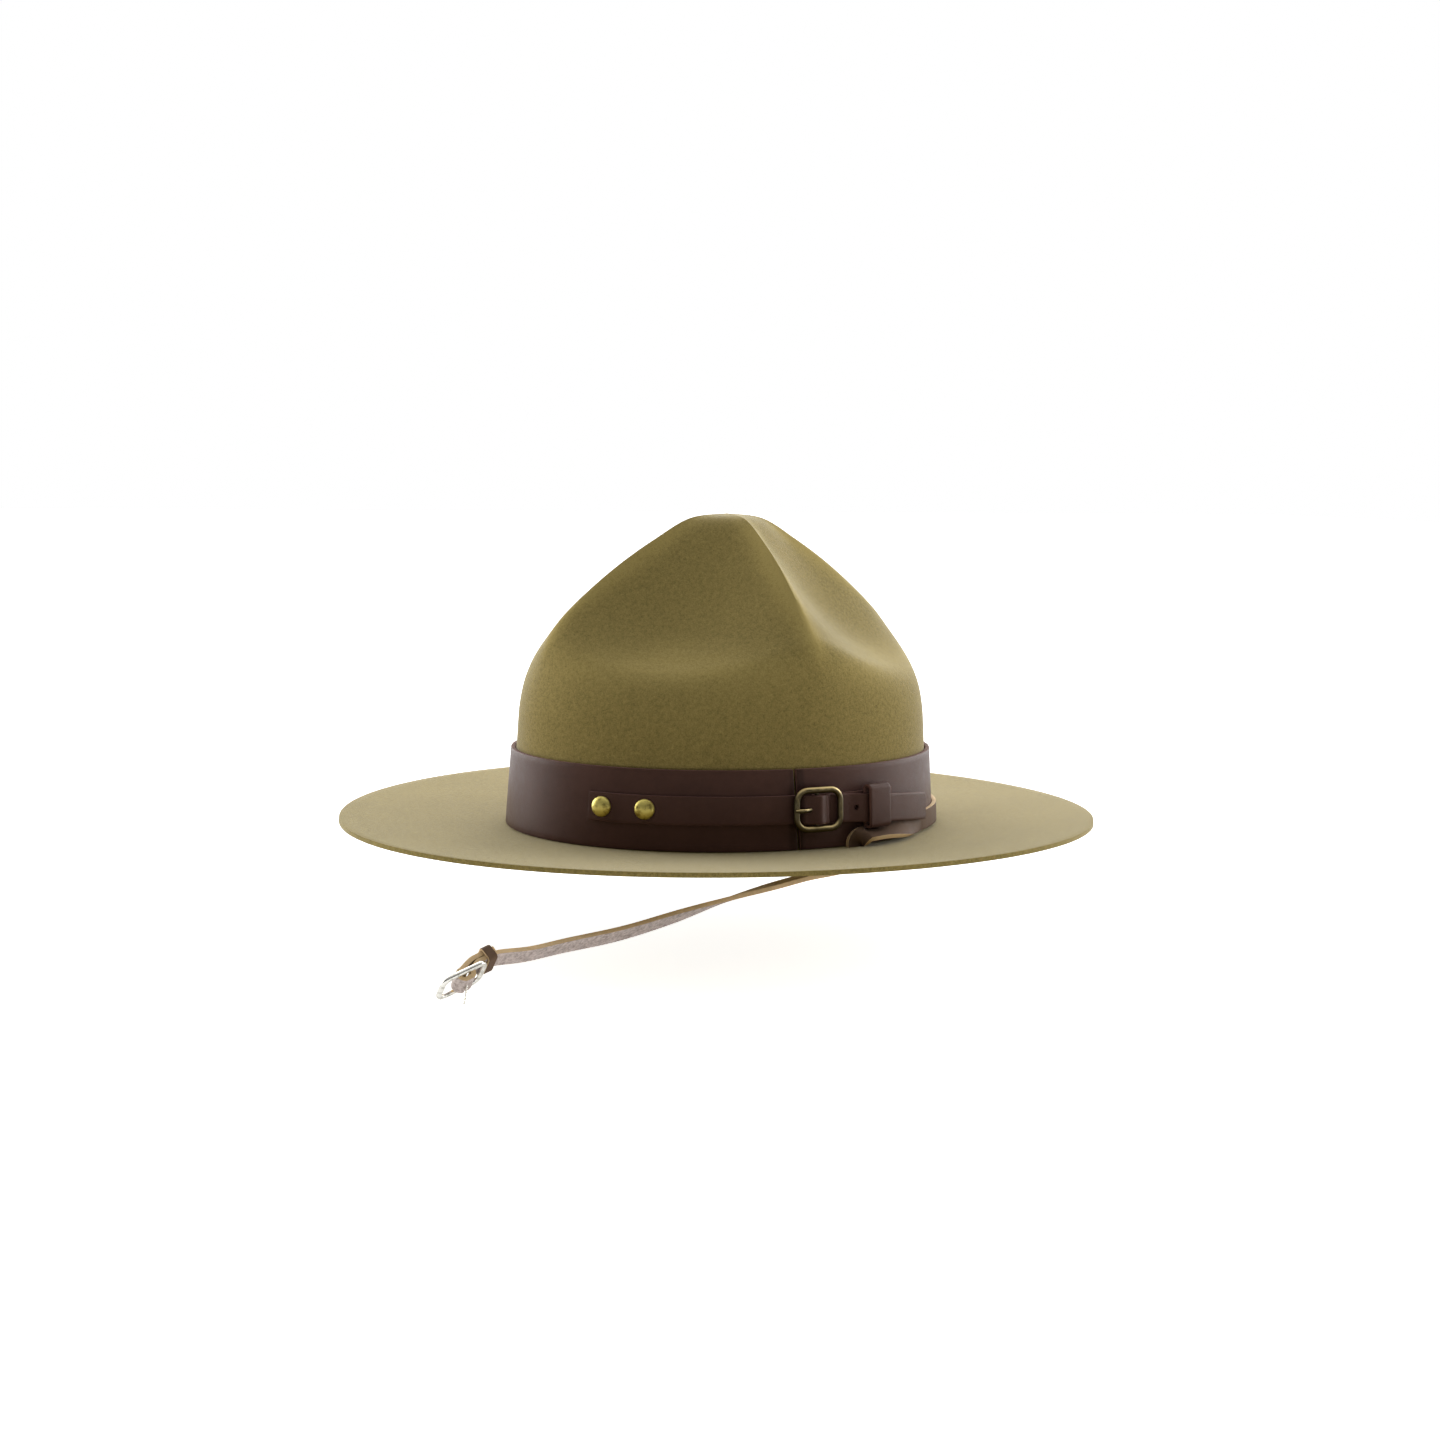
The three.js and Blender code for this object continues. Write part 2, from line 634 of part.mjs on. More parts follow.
// Chin strap stations from the slit to the back of the band, on the left side.
function chinTurn() {
  const rest = gap + chinThickness / 2;
  const steps = 5;
  const stations = [];
  for (let i = 0; i <= steps; i += 1) {
    const angle = (Math.PI / 2) * (i / steps);
    const lean = radians(chinTurnLean) * Math.sin(angle) ** 2;
    stations.push({
      along: slitAlong + chinTurnRadius * (1 - Math.cos(angle)),
      up: chinTurnRadius * Math.sin(angle) + slitRise * Math.cos(angle),
      out: rest + (chinWidth / 2) * Math.sin(lean),
      heading: angle,
      lean,
    });
  }
  settling.forEach((row) => stations.push({
    along: slitAlong + chinTurnRadius + row.further * chinWidth,
    up: row.up * chinWidth,
    out: rest + (chinWidth / 2) * Math.sin(radians(row.lean)),
    heading: Math.PI / 2,
    lean: radians(row.lean),
  }));
  return stations;
}

function chinStation({ along, up, out, heading, lean }) {
  const place = bandFrame(along, up);
  const width = place.ahead.clone().multiplyScalar(-Math.cos(heading));
  width.addScaledVector(place.rise, Math.sin(heading));
  const side = width.multiplyScalar(Math.cos(lean)).addScaledVector(place.out, -Math.sin(lean));
  return { origin: onBand(along, up, out), side };
}

const slitExit = chinStation({
  along: slitAlong,
  up: -1.5 * feltThickness,
  out: gap + chinThickness / 2,
  heading: 0,
  lean: 0,
});

function mirrored({ origin, side }) {
  return { origin: V(-origin.x, origin.y, origin.z), side: V(-side.x, side.y, side.z) };
}

const slitExitRight = mirrored(slitExit);

// The free buckle end from the left slit forwards and down: places of the strap's middle line from
// the slit as shares of chinReach, with the direction across the strap.
const freeRun = [
  { x: 0.0075, y: -0.0094, z: -0.0200, sx: 0.25, sy: -0.97, sz: 0.00 },
  { x: 0.0100, y: -0.0314, z: -0.0310, sx: 0.75, sy: -0.65, sz: 0.05 },
  { x: 0.0120, y: -0.0674, z: -0.0350, sx: 0.97, sy: -0.22, sz: 0.06 },
  { x: 0.0135, y: -0.1399, z: -0.0415, sx: 0.99, sy: 0.00, sz: 0.10 },
  { x: 0.0190, y: -0.2264, z: -0.0535, sx: 0.99, sy: 0.00, sz: 0.12 },
  { x: 0.0305, y: -0.3459, z: -0.0710, sx: 0.93, sy: 0.00, sz: 0.36 },
  { x: 0.0470, y: -0.4719, z: -0.0915, sx: 0.75, sy: 0.00, sz: 0.66 },
  { x: 0.0700, y: -0.6089, z: -0.1090, sx: 0.70, sy: 0.00, sz: 0.71 },
  { x: 0.0990, y: -0.7489, z: -0.1150, sx: 0.71, sy: 0.00, sz: 0.70 },
  { x: 0.1190, y: -0.8399, z: -0.1195, sx: 0.71, sy: 0.00, sz: 0.70 },
];
const buckleMiddle = { x: 0.1535, y: -0.9950, z: -0.1485 };
const buckleAhead = { x: 0.202, y: -0.948, z: -0.246 };
const buckleSide = { x: 0.705, y: -0.120, z: 0.700 };

// The hidden holed end, from the right slit back under the brim in a plain curve, in the same way.
const hiddenRun = [
  { x: -0.0075, y: 0.0026, z: -0.0250, sx: 0.00, sy: -0.97, sz: -0.25 },
  { x: -0.0100, y: 0.0326, z: -0.0600, sx: -0.15, sy: -0.75, sz: -0.65 },
  { x: -0.0150, y: 0.0976, z: -0.0950, sx: -0.30, sy: -0.35, sz: -0.90 },
  { x: -0.0250, y: 0.2576, z: -0.1250, sx: -0.30, sy: -0.10, sz: -0.95 },
  { x: -0.0340, y: 0.4576, z: -0.1425, sx: -0.30, sy: -0.06, sz: -0.95 },
  { x: -0.0340, y: 0.6676, z: -0.1550, sx: -0.30, sy: -0.03, sz: -0.95 },
  { x: -0.0290, y: 0.8876, z: -0.1625, sx: -0.30, sy: 0.00, sz: -0.95 },
];

// A place given as shares of chinReach from a slit.
function fromSlit(slit, { x, y, z }) {
  return slit.origin.clone().add(V(x, y, z).multiplyScalar(chinReach));
}

// Smooth strap stations through the places of a table.
function smoothRun(slit, table, steps) {
  const places = new THREE.CatmullRomCurve3(table.map((row) => fromSlit(slit, row)));
  const sides = new THREE.CatmullRomCurve3(table.map((row) => V(row.sx, row.sy, row.sz)));
  return Array.from({ length: steps + 1 }, (_, i) => ({
    origin: places.getPoint(i / steps),
    side: sides.getPoint(i / steps).normalize(),
  }));
}

// Directions at the chin buckle: ahead points out to its tip, side across it, and face is its front.
// The strap's end passes behind the rear bar, folds round the centre bar and comes back on itself.
const foldRadius = chinCentreBar / 2 + gap + chinThickness / 2;
const behindBar = -(chinBarDepth / 2 + gap + chinThickness / 2);
const underStrap = behindBar - chinThickness - gap;
const keeperStart = -(chinBuckleLength / 2 + behindBuckle + chinKeeperLength);
const foldEnd = keeperStart - foldTail;

const chinPlace = (() => {
  const origin = fromSlit(slitExit, buckleMiddle);
  const ahead = V(buckleAhead.x, buckleAhead.y, buckleAhead.z).normalize();
  const side = V(buckleSide.x, buckleSide.y, buckleSide.z);
  side.addScaledVector(ahead, -side.dot(ahead)).normalize();
  return { origin, ahead, side, face: side.clone().cross(ahead) };
})();

function atBuckle(ahead, face) {
  return chinPlace.origin.clone().addScaledVector(chinPlace.ahead, ahead).addScaledVector(chinPlace.face, face);
}

function foldStations() {
  const rearBar = -(chinBuckleLength - chinBarWidth) / 2;
  const line = [
    { ahead: foldEnd, face: behindBar },
    { ahead: rearBar - 0.5 * chinBarWidth, face: behindBar },
    { ahead: rearBar + 0.67 * chinBarWidth, face: behindBar },
    { ahead: rearBar + 2.08 * chinBarWidth, face: behindBar * 0.2 },
    { ahead: -1.6 * chinCentreBar, face: foldRadius * 0.82 },
  ];
  const steps = 7;
  for (let i = 0; i <= steps; i += 1) {
    const angle = mix(Math.PI / 2 + 0.15, -Math.PI / 2 - 0.1, i / steps);
    line.push({ ahead: foldRadius * Math.cos(angle), face: foldRadius * Math.sin(angle) });
  }
  line.push({ ahead: rearBar + 2.08 * chinBarWidth, face: mix(-foldRadius, underStrap, 0.7) });
  line.push({ ahead: rearBar + 0.67 * chinBarWidth, face: underStrap });
  line.push({ ahead: foldEnd, face: underStrap });
  return line.map((row) => ({ origin: atBuckle(row.ahead, row.face), side: chinPlace.side.clone() }));
}

// Gives each station of a strap its ahead and face directions, square to one another.
function squared(stations) {
  return stations.map(({ origin, side }, i) => {
    const before = stations[Math.max(i - 1, 0)].origin;
    const after = stations[Math.min(i + 1, stations.length - 1)].origin;
    const ahead = after.clone().sub(before).normalize();
    const across = side.clone().addScaledVector(ahead, -side.dot(ahead)).normalize();
    return { origin, side: across, face: ahead.clone().cross(across) };
  });
}

// The place at a length from the strap's holed tip.
function fromTip(stations, length) {
  let left = length;
  let i = stations.length - 1;
  while (left > stations[i].origin.distanceTo(stations[i - 1].origin)) {
    left -= stations[i].origin.distanceTo(stations[i - 1].origin);
    i -= 1;
  }
  const share = left / stations[i].origin.distanceTo(stations[i - 1].origin);
  return {
    origin: stations[i].origin.clone().lerp(stations[i - 1].origin, share),
    face: stations[i].face.clone().lerp(stations[i - 1].face, share).normalize(),
  };
}

function chinStrap() {
  const left = chinTurn();
  const wrapFrom = left[left.length - 1].along;
  const wrapTo = bandLength / 2 - wrapFrom;
  const back = [];
  for (let i = 1; i < backSteps; i += 1) {
    back.push({
      along: mix(wrapFrom, wrapTo, i / backSteps),
      up: chinHeight,
      out: gap + chinThickness / 2,
      heading: Math.PI / 2,
      lean: 0,
    });
  }
  const leftStations = left.map(chinStation);
  const stations = squared([
    ...foldStations().reverse(),
    ...smoothRun(slitExit, freeRun, freeSteps).reverse(),
    slitExit,
    ...leftStations,
    ...back.map(chinStation),
    ...leftStations.map(mirrored).reverse(),
    slitExitRight,
    ...smoothRun(slitExitRight, hiddenRun, hiddenSteps),
  ]);
  const tip = stations[stations.length - 1];
  const tipLength = chinWidth / 2;
  const beyond = tip.origin.clone().sub(stations[stations.length - 2].origin).normalize();
  stations.push({ ...tip, origin: tip.origin.clone().addScaledVector(beyond, tipLength * 0.6), squeeze: 0.8 });
  stations.push({ ...tip, origin: tip.origin.clone().addScaledVector(beyond, tipLength), squeeze: 0.4 });
  const strip = sweep(stations, bar(chinWidth, chinThickness), false);
  const holes = Array.from({ length: chinHoleCount }, (_, i) => {
    const place = fromTip(stations, chinHoleFirst + i * chinHoleSpacing);
    const from = place.origin.clone().addScaledVector(place.face, -chinThickness);
    const to = place.origin.clone().addScaledVector(place.face, chinThickness);
    return pin(from, to, punchDiameter, 8);
  });
  const slotWidth = chinProngWidth + 2 * gap;
  const slot = new THREE.BoxGeometry(foldRadius * 4, slotWidth, foldRadius * 4);
  return cut(strip, [...holes, placedAtBuckle(slot)]);
}

function chinBuckleFrame() {
  const ring = buckleRing(chinBuckleLength, chinBuckleWidth, chinBarWidth, chinBarDepth, chinCorner, 4);
  const reach = chinBuckleWidth / 2 - chinBarWidth / 2;
  const centre = pin(V(0, -reach, 0), V(0, reach, 0), chinCentreBar, 10);
  return placedAtBuckle(join([ring, centre]));
}

// The prong, curled round the centre bar and hanging open from it.
function chinBuckleProng() {
  const curl = chinCentreBar / 2 + gap + chinProngDepth / 2;
  const tip = 0.97 * (chinBuckleLength / 2);
  const line = [];
  const steps = 8;
  for (let i = 0; i <= steps; i += 1) {
    const angle = mix(radians(-25), radians(-270), i / steps);
    line.push([curl * Math.cos(angle), curl * Math.sin(angle)]);
  }
  line.push([tip * 0.5, 1.05 * curl], [tip * 0.85, 1.08 * curl], [tip, curl]);
  const hang = radians(chinProngHang);
  const turned = line.map(([x, z]) => V(
    x * Math.cos(hang) - z * Math.sin(hang),
    0,
    x * Math.sin(hang) + z * Math.cos(hang),
  ));
  const stations = turned.map((origin, i) => {
    const ahead = turned[Math.min(i + 1, turned.length - 1)].clone().sub(turned[Math.max(i - 1, 0)]).normalize();
    const squeeze = i === turned.length - 1 ? 0.7 : 1;
    return { origin, side: V(0, 1, 0), face: ahead.clone().cross(V(0, 1, 0)), squeeze };
  });
  return placedAtBuckle(sweep(stations, bar(chinProngWidth, chinProngDepth, 8), false));
}

// A leather loop round both layers of the strap behind the buckle.
function chinKeeper() {
  const stack = behindBar - underStrap + chinThickness;
  const middle = (behindBar + underStrap) / 2;
  const insideWidth = chinWidth + 2 * chinKeeperRoom;
  const insideDepth = stack + 2 * gap;
  const outside = 2 * chinKeeperThickness;
  const outline = roundedBox(0, middle, insideWidth + outside, insideDepth + outside, chinKeeperRound);
  outline.holes.push(roundedBox(0, middle, insideWidth, insideDepth, chinKeeperRound - chinKeeperThickness));
  const geometry = new THREE.ExtrudeGeometry(outline, {
    depth: chinKeeperLength, bevelEnabled: false, steps: 1, curveSegments: 3,
  });
  const turn = new THREE.Matrix4().makeBasis(V(0, 1, 0), V(0, 0, 1), V(1, 0, 0));
  geometry.applyMatrix4(turn).translate(keeperStart, 0, 0);
  return placedAtBuckle(merged(geometry));
}

// Places a geometry modelled with X ahead, Y across and Z out of the buckle's front.
function placedAtBuckle(geometry) {
  const { origin, ahead, side, face } = chinPlace;
  const basis = new THREE.Matrix4().makeBasis(ahead, side.clone().negate(), face).setPosition(origin);
  return merged(geometry.applyMatrix4(basis));
}

function material(hex, roughness, metalness) {
  return new THREE.MeshStandardMaterial({ color: new THREE.Color(hex), roughness, metalness });
}

const felt = () => material(0x8a7a4e, 0.95, 0);
const bandLeather = () => material(0x42302b, 0.5, 0);
const chinLeather = () => material(0x5f5048, 0.55, 0);
const brass = () => material(0xa89a50, 0.35, 1);
const darkBrass = () => material(0x7a6a44, 0.45, 1);
const nickel = () => material(0xd8d6cc, 0.25, 1);

const hat = new THREE.Group();

function add(name, geometry, finish) {
  const mesh = new THREE.Mesh(geometry, finish);
  mesh.name = name;
  hat.add(mesh);
}

add('felt_body', feltBody(), felt());
add('hat_band', hatBand(), bandLeather());
add('band_strap', bandStrap(), bandLeather());
Object.entries(rivetAlong).forEach(([name, along]) => add(name, rivet(along), brass()));
add('band_buckle_tab', bandBuckleTab(), bandLeather());
add('band_buckle_frame', bandBuckleFrame(), darkBrass());
add('band_buckle_prong', bandBuckleProng(), darkBrass());
add('band_keeper', bandKeeper(), bandLeather());
add('chin_strap', chinStrap(), chinLeather());
add('chin_keeper', chinKeeper(), chinLeather());
add('chin_buckle_frame', chinBuckleFrame(), nickel());
add('chin_buckle_prong', chinBuckleProng(), nickel());

export default hat;
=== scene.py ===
import math

import bpy
import numpy as np
from mathutils import Matrix, Vector


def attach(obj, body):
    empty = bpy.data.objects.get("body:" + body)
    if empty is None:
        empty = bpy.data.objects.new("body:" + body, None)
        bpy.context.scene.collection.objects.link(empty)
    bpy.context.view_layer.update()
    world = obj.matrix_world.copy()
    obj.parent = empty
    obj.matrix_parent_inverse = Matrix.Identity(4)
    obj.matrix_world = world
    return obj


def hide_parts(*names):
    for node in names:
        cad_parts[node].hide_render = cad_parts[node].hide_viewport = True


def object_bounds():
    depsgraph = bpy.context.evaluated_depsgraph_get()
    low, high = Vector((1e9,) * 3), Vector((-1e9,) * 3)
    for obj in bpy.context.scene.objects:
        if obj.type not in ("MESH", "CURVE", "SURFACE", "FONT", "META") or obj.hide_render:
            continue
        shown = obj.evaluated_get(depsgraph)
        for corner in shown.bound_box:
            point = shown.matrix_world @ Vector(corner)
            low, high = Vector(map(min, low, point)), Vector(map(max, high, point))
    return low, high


bl_info = {
    "name": "Felt Campaign Hat",
    "version": (1, 0, 0),
    "blender": (4, 5, 0),
    "location": "View3D > Sidebar > Hat",
    "description": "Dresses a felt campaign hat with its leather band, buckles and chin strap",
    "category": "Add Mesh",
}

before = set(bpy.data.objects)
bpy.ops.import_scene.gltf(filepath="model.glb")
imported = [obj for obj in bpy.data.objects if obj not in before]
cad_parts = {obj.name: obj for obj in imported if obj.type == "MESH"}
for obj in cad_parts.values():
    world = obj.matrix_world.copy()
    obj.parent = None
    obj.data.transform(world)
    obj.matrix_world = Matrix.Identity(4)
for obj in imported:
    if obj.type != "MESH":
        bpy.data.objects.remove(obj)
LOW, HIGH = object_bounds()
MM = 0.001

# Felt shell
OPENING_LENGTH = 196.6 * MM
OPENING_WIDTH = 168.0 * MM
FELT = 2.0 * MM
CROWN_HEIGHT = 141.7 * MM
BRIM_FRONT, BRIM_SIDE = 77.8 * MM, 76.0 * MM
RISE_FRONT, RISE_SIDE = 4.1 * MM, 5.9 * MM
CREST_ROUND = 0.05
CREST_AT_FOOT, CREST_AT_PEAK = 1.3, 0.55
GAP = 0.3 * MM

# Band, strap and keeper
BAND_HEIGHT = 35.3 * MM
BAND_THICK = 2.2 * MM
BAND_TOP_SHARE = 0.975
BAND_LIFT = 0.4 * MM
SEAM_ALONG, SEAM_GAP, SEAM_SLANT = -12.4 * MM, 1.2 * MM, 2.4 * MM
STRAP_WIDTH, STRAP_THICK = 12.3 * MM, 1.7 * MM
STRAP_UP, STRAP_DIP, STRAP_CORNER = 18.2 * MM, 5.2 * MM, 2.0 * MM
STRAP_FRONT, STRAP_TIP = -104.3 * MM, 65.0 * MM
RIVETS = {"band_rivet_front": -97.9 * MM, "band_rivet_rear": -78.8 * MM}
RIVET_DIAMETER, RIVET_HEIGHT, RIVET_RIM = 9.0 * MM, 2.6 * MM, 0.55 * MM
HOLE_ALONG, HOLE_DIAMETER = 15.3 * MM, 2.4 * MM
BUCKLE_ALONG = -4.35 * MM
BUCKLE_LENGTH, BUCKLE_WIDTH = 23.4 * MM, 19.6 * MM
BAR_WIDTH, BAR_DEPTH = 2.8 * MM, 2.5 * MM
BUCKLE_CORNER = 6.3 * MM
CENTRE_BAR = 1.9 * MM
PRONG_WIDTH, PRONG_DEPTH = 1.9 * MM, 1.1 * MM
TAB_THICK, TAB_WIDTH, TAB_REACH = 1.0 * MM, 12.0 * MM, 44.8 * MM
KEEPER_ALONG, KEEPER_LENGTH = 26.9 * MM, 12.2 * MM
KEEPER_HEIGHT, KEEPER_THICK = 19.5 * MM, 1.3 * MM
KEEPER_RISE, KEEPER_ROOM, KEEPER_ROUND = 1.0 * MM, 0.6 * MM, 2.4 * MM

# Chin strap and its buckle
CHIN_WIDTH, CHIN_THICK = 8.6 * MM, 1.9 * MM
SLIT_ALONG, SLIT_ROOM, SLIT_RISE = 16.1 * MM, 0.6 * MM, 1.1 * MM
CHIN_TURN, CHIN_TURN_LEAN = 5.2 * MM, math.radians(72)
CHIN_UP = 5.7 * MM
CHIN_REACH = 200.0 * MM
CHIN_HOLE_FIRST, CHIN_HOLE_SPACING, CHIN_HOLES = 22.0 * MM, 12.0 * MM, 6
CHIN_BUCKLE_LENGTH, CHIN_BUCKLE_WIDTH = 22.0 * MM, 15.0 * MM
CHIN_BAR_WIDTH, CHIN_BAR_DEPTH = 2.4 * MM, 2.2 * MM
CHIN_CORNER, CHIN_CENTRE = 4.4 * MM, 2.0 * MM
CHIN_PRONG_WIDTH, CHIN_PRONG_DEPTH = 1.8 * MM, 1.2 * MM
PRONG_HANG = math.radians(49.6)
CHIN_KEEPER_LENGTH, CHIN_KEEPER_THICK, CHIN_KEEPER_ROOM = 4.2 * MM, 1.0 * MM, 0.4 * MM

# Crown sections from foot to peak: (out, up) shares on the front and back, side and dent lines.
SECTIONS = {
    "front": [
        (1.0, 0.0), (0.986, 0.14), (0.973, 0.27), (0.965, 0.394), (0.935, 0.505), (0.895, 0.607),
        (0.818, 0.684), (0.688, 0.765), (0.534, 0.846), (0.366, 0.92), (0.19, 0.985), (0.0, 1.0),
    ],
    "side": [
        (1.0, 0.0), (0.986, 0.14), (0.973, 0.27), (0.97, 0.4), (0.962, 0.52), (0.918, 0.613),
        (0.828, 0.676), (0.705, 0.757), (0.553, 0.843), (0.385, 0.918), (0.197, 0.984), (0.0, 1.0),
    ],
    "dent": [
        (1.0, 0.0), (0.986, 0.14), (0.973, 0.27), (0.958, 0.385), (0.925, 0.468), (0.865, 0.52),
        (0.755, 0.562), (0.612, 0.622), (0.465, 0.715), (0.325, 0.838), (0.165, 0.972), (0.0, 1.0),
    ],
}
FOOT_FRONT = OPENING_LENGTH / 2 + FELT
FOOT_SIDE = OPENING_WIDTH / 2 + FELT


def smooth_line(points, share):
    """Points on a smooth curve through a table of points, at shares from 0 to 1 of its rows."""
    points = np.asarray(points, float)
    last = len(points) - 1
    place = np.clip(np.asarray(share, float), 0, 1) * last
    i = np.minimum(place.astype(int), last - 1)
    t = (place - i)[..., None]
    p0, p1 = points[np.maximum(i - 1, 0)], points[i]
    p2, p3 = points[i + 1], points[np.minimum(i + 2, last)]
    p0 = np.where((i == 0)[..., None], points[0], p0)
    v0, v1 = (p2 - p0) / 2, (p3 - p1) / 2
    return (2 * p1 - 2 * p2 + v0 + v1) * t**3 + (-3 * p1 + 3 * p2 - 2 * v0 - v1) * t**2 + v0 * t + p1


def mix(a, b, share):
    """The value at a share of the way from a to b."""
    return a + (b - a) * share


def crown_place(turn, share):
    """The crown's outer face: turn goes round from the left side, share from foot to peak."""
    wave = np.hypot(np.sin(2 * turn), CREST_ROUND) - CREST_ROUND
    wave = wave / (math.hypot(1, CREST_ROUND) - CREST_ROUND)
    dent = (wave ** mix(CREST_AT_FOOT, CREST_AT_PEAK, share))[..., None]
    front, side, hollow = (smooth_line(SECTIONS[k], share) for k in ("front", "side", "dent"))
    ridge = mix(side, front, (np.sin(turn) ** 2)[..., None])
    place = mix(ridge, hollow, dent)
    return np.stack([
        FOOT_SIDE * place[..., 0] * np.cos(turn),
        FOOT_FRONT * place[..., 0] * np.sin(turn),
        CROWN_HEIGHT * place[..., 1],
    ], -1)


def brim_place(turn, share):
    """The brim's upper face: share goes from the crown's foot to the rim."""
    across = share * mix(BRIM_SIDE, BRIM_FRONT, np.sin(turn) ** 2)
    rise = mix(RISE_SIDE, RISE_FRONT, np.sin(turn) ** 2) * share**1.4
    return np.stack([(FOOT_SIDE + across) * np.cos(turn), (FOOT_FRONT + across) * np.sin(turn), rise], -1)


def band_place(turn, up, out):
    """A place over the band's outer face."""
    reach = GAP + BAND_THICK + out
    share = 1 - (1 - BAND_TOP_SHARE) * (up / BAND_HEIGHT)
    x = (FOOT_SIDE * share + reach) * np.cos(turn)
    y = (FOOT_FRONT * share + reach) * np.sin(turn)
    return np.stack([x, y, up + 0 * x], -1)


TURNS = np.linspace(0, 2 * math.pi, 2881)
ARCS = np.r_[0, np.cumsum(np.linalg.norm(np.diff(band_place(TURNS, STRAP_UP, 0.0), axis=0), axis=1))]
BAND_LENGTH = ARCS[-1]


def on_band(along, up, out):
    """A place over the band by its length from the left side towards the back."""
    along = np.asarray(along, float)
    laps = np.floor(along / BAND_LENGTH)
    turn = np.interp(along - laps * BAND_LENGTH, ARCS, TURNS) + 2 * math.pi * laps
    return band_place(turn, up, out)


def unit(v):
    """Vectors of length 1 along the last axis."""
    return v / np.linalg.norm(v, axis=-1, keepdims=True)


def band_frame(along, up):
    """Origin and directions along the band, up it and out of it."""
    feeler = 0.5 * MM
    origin = on_band(along, up, 0.0)
    ahead = unit(on_band(along + feeler, up, 0.0) - on_band(along - feeler, up, 0.0))
    rise = unit(on_band(along, up + feeler, 0.0) - on_band(along, up - feeler, 0.0))
    out = unit(np.cross(ahead, rise))
    return origin, ahead, np.cross(out, ahead), out


# Heights over the band of what lies on it
LOOP = CENTRE_BAR / 2 + GAP + TAB_THICK
CENTRE_OUT = GAP + LOOP
OVER_TAB = 2 * GAP + TAB_THICK
OVER_KEEPER = OVER_TAB + KEEPER_THICK + GAP
OVER_CHIN = 2 * GAP + CHIN_THICK + 0.5 * MM
OVER_LOOP = CENTRE_OUT + LOOP + GAP
BAR_OUT = OVER_TAB + STRAP_THICK + GAP + BAR_DEPTH / 2
HALF = BUCKLE_LENGTH / 2

# The strap's underside over the band: (length, height).
STRAP_RUN = [
    (STRAP_FRONT, GAP),
    (BUCKLE_ALONG - 1.35 * HALF, GAP),
    (BUCKLE_ALONG - 0.86 * HALF, 1.3 * GAP),
    (BUCKLE_ALONG - 0.5 * HALF, OVER_LOOP * 0.62),
    (BUCKLE_ALONG, OVER_LOOP),
    (BUCKLE_ALONG + 0.3 * HALF, OVER_LOOP * 0.72),
    (BUCKLE_ALONG + 0.58 * HALF, OVER_TAB),
    (BUCKLE_ALONG + 1.3 * HALF, OVER_TAB),
    (KEEPER_ALONG - KEEPER_LENGTH / 2, OVER_KEEPER),
    (KEEPER_ALONG + KEEPER_LENGTH / 2, OVER_KEEPER),
    (KEEPER_ALONG + 1.4 * KEEPER_LENGTH, OVER_CHIN),
    (STRAP_TIP, OVER_CHIN),
]


def strap_up(along):
    """Height of the strap's middle line: level as far as the buckle, then lower towards the tip."""
    share = np.maximum(0, (np.asarray(along, float) - BUCKLE_ALONG) / (STRAP_TIP - BUCKLE_ALONG))
    return STRAP_UP - STRAP_DIP * share**1.5


def strap_out(along):
    """Height of the strap's underside over the band."""
    along = np.asarray(along, float)
    lengths = np.array([row[0] for row in STRAP_RUN])
    heights = np.array([row[1] for row in STRAP_RUN])
    i = np.clip(np.searchsorted(lengths, along) - 1, 0, len(lengths) - 2)
    t = np.clip((along - lengths[i]) / (lengths[i + 1] - lengths[i]), 0, 1)
    return mix(heights[i], heights[i + 1], t * t * (3 - 2 * t))


# Settling of the chin strap on the band behind the slit: (length on, height) as shares of its width,
# and the degrees by which its lower edge leans out.
SETTLING = [
    (0.6, 0.61, 74), (1.3, 0.62, 68), (2.1, 0.63, 54), (3.0, 0.64, 34), (3.95, 0.65, 14),
    (4.9, CHIN_UP / CHIN_WIDTH, 0),
]
# The free buckle end: places from the slit as shares of CHIN_REACH, then the direction across the strap.
FREE_RUN = [
    (0.0075, -0.0094, -0.0200, 0.25, -0.97, 0),
    (0.0100, -0.0314, -0.0310, 0.75, -0.65, 0.05),
    (0.0120, -0.0674, -0.0350, 0.97, -0.22, 0.06),
    (0.0135, -0.1399, -0.0415, 0.99, 0, 0.1),
    (0.0190, -0.2264, -0.0535, 0.99, 0, 0.12),
    (0.0305, -0.3459, -0.0710, 0.93, 0, 0.36),
    (0.0470, -0.4719, -0.0915, 0.75, 0, 0.66),
    (0.0700, -0.6089, -0.1090, 0.7, 0, 0.71),
    (0.0990, -0.7489, -0.1150, 0.71, 0, 0.7),
    (0.1190, -0.8399, -0.1195, 0.71, 0, 0.7),
]
BUCKLE_AWAY = (0.1535, -0.9950, -0.1485)
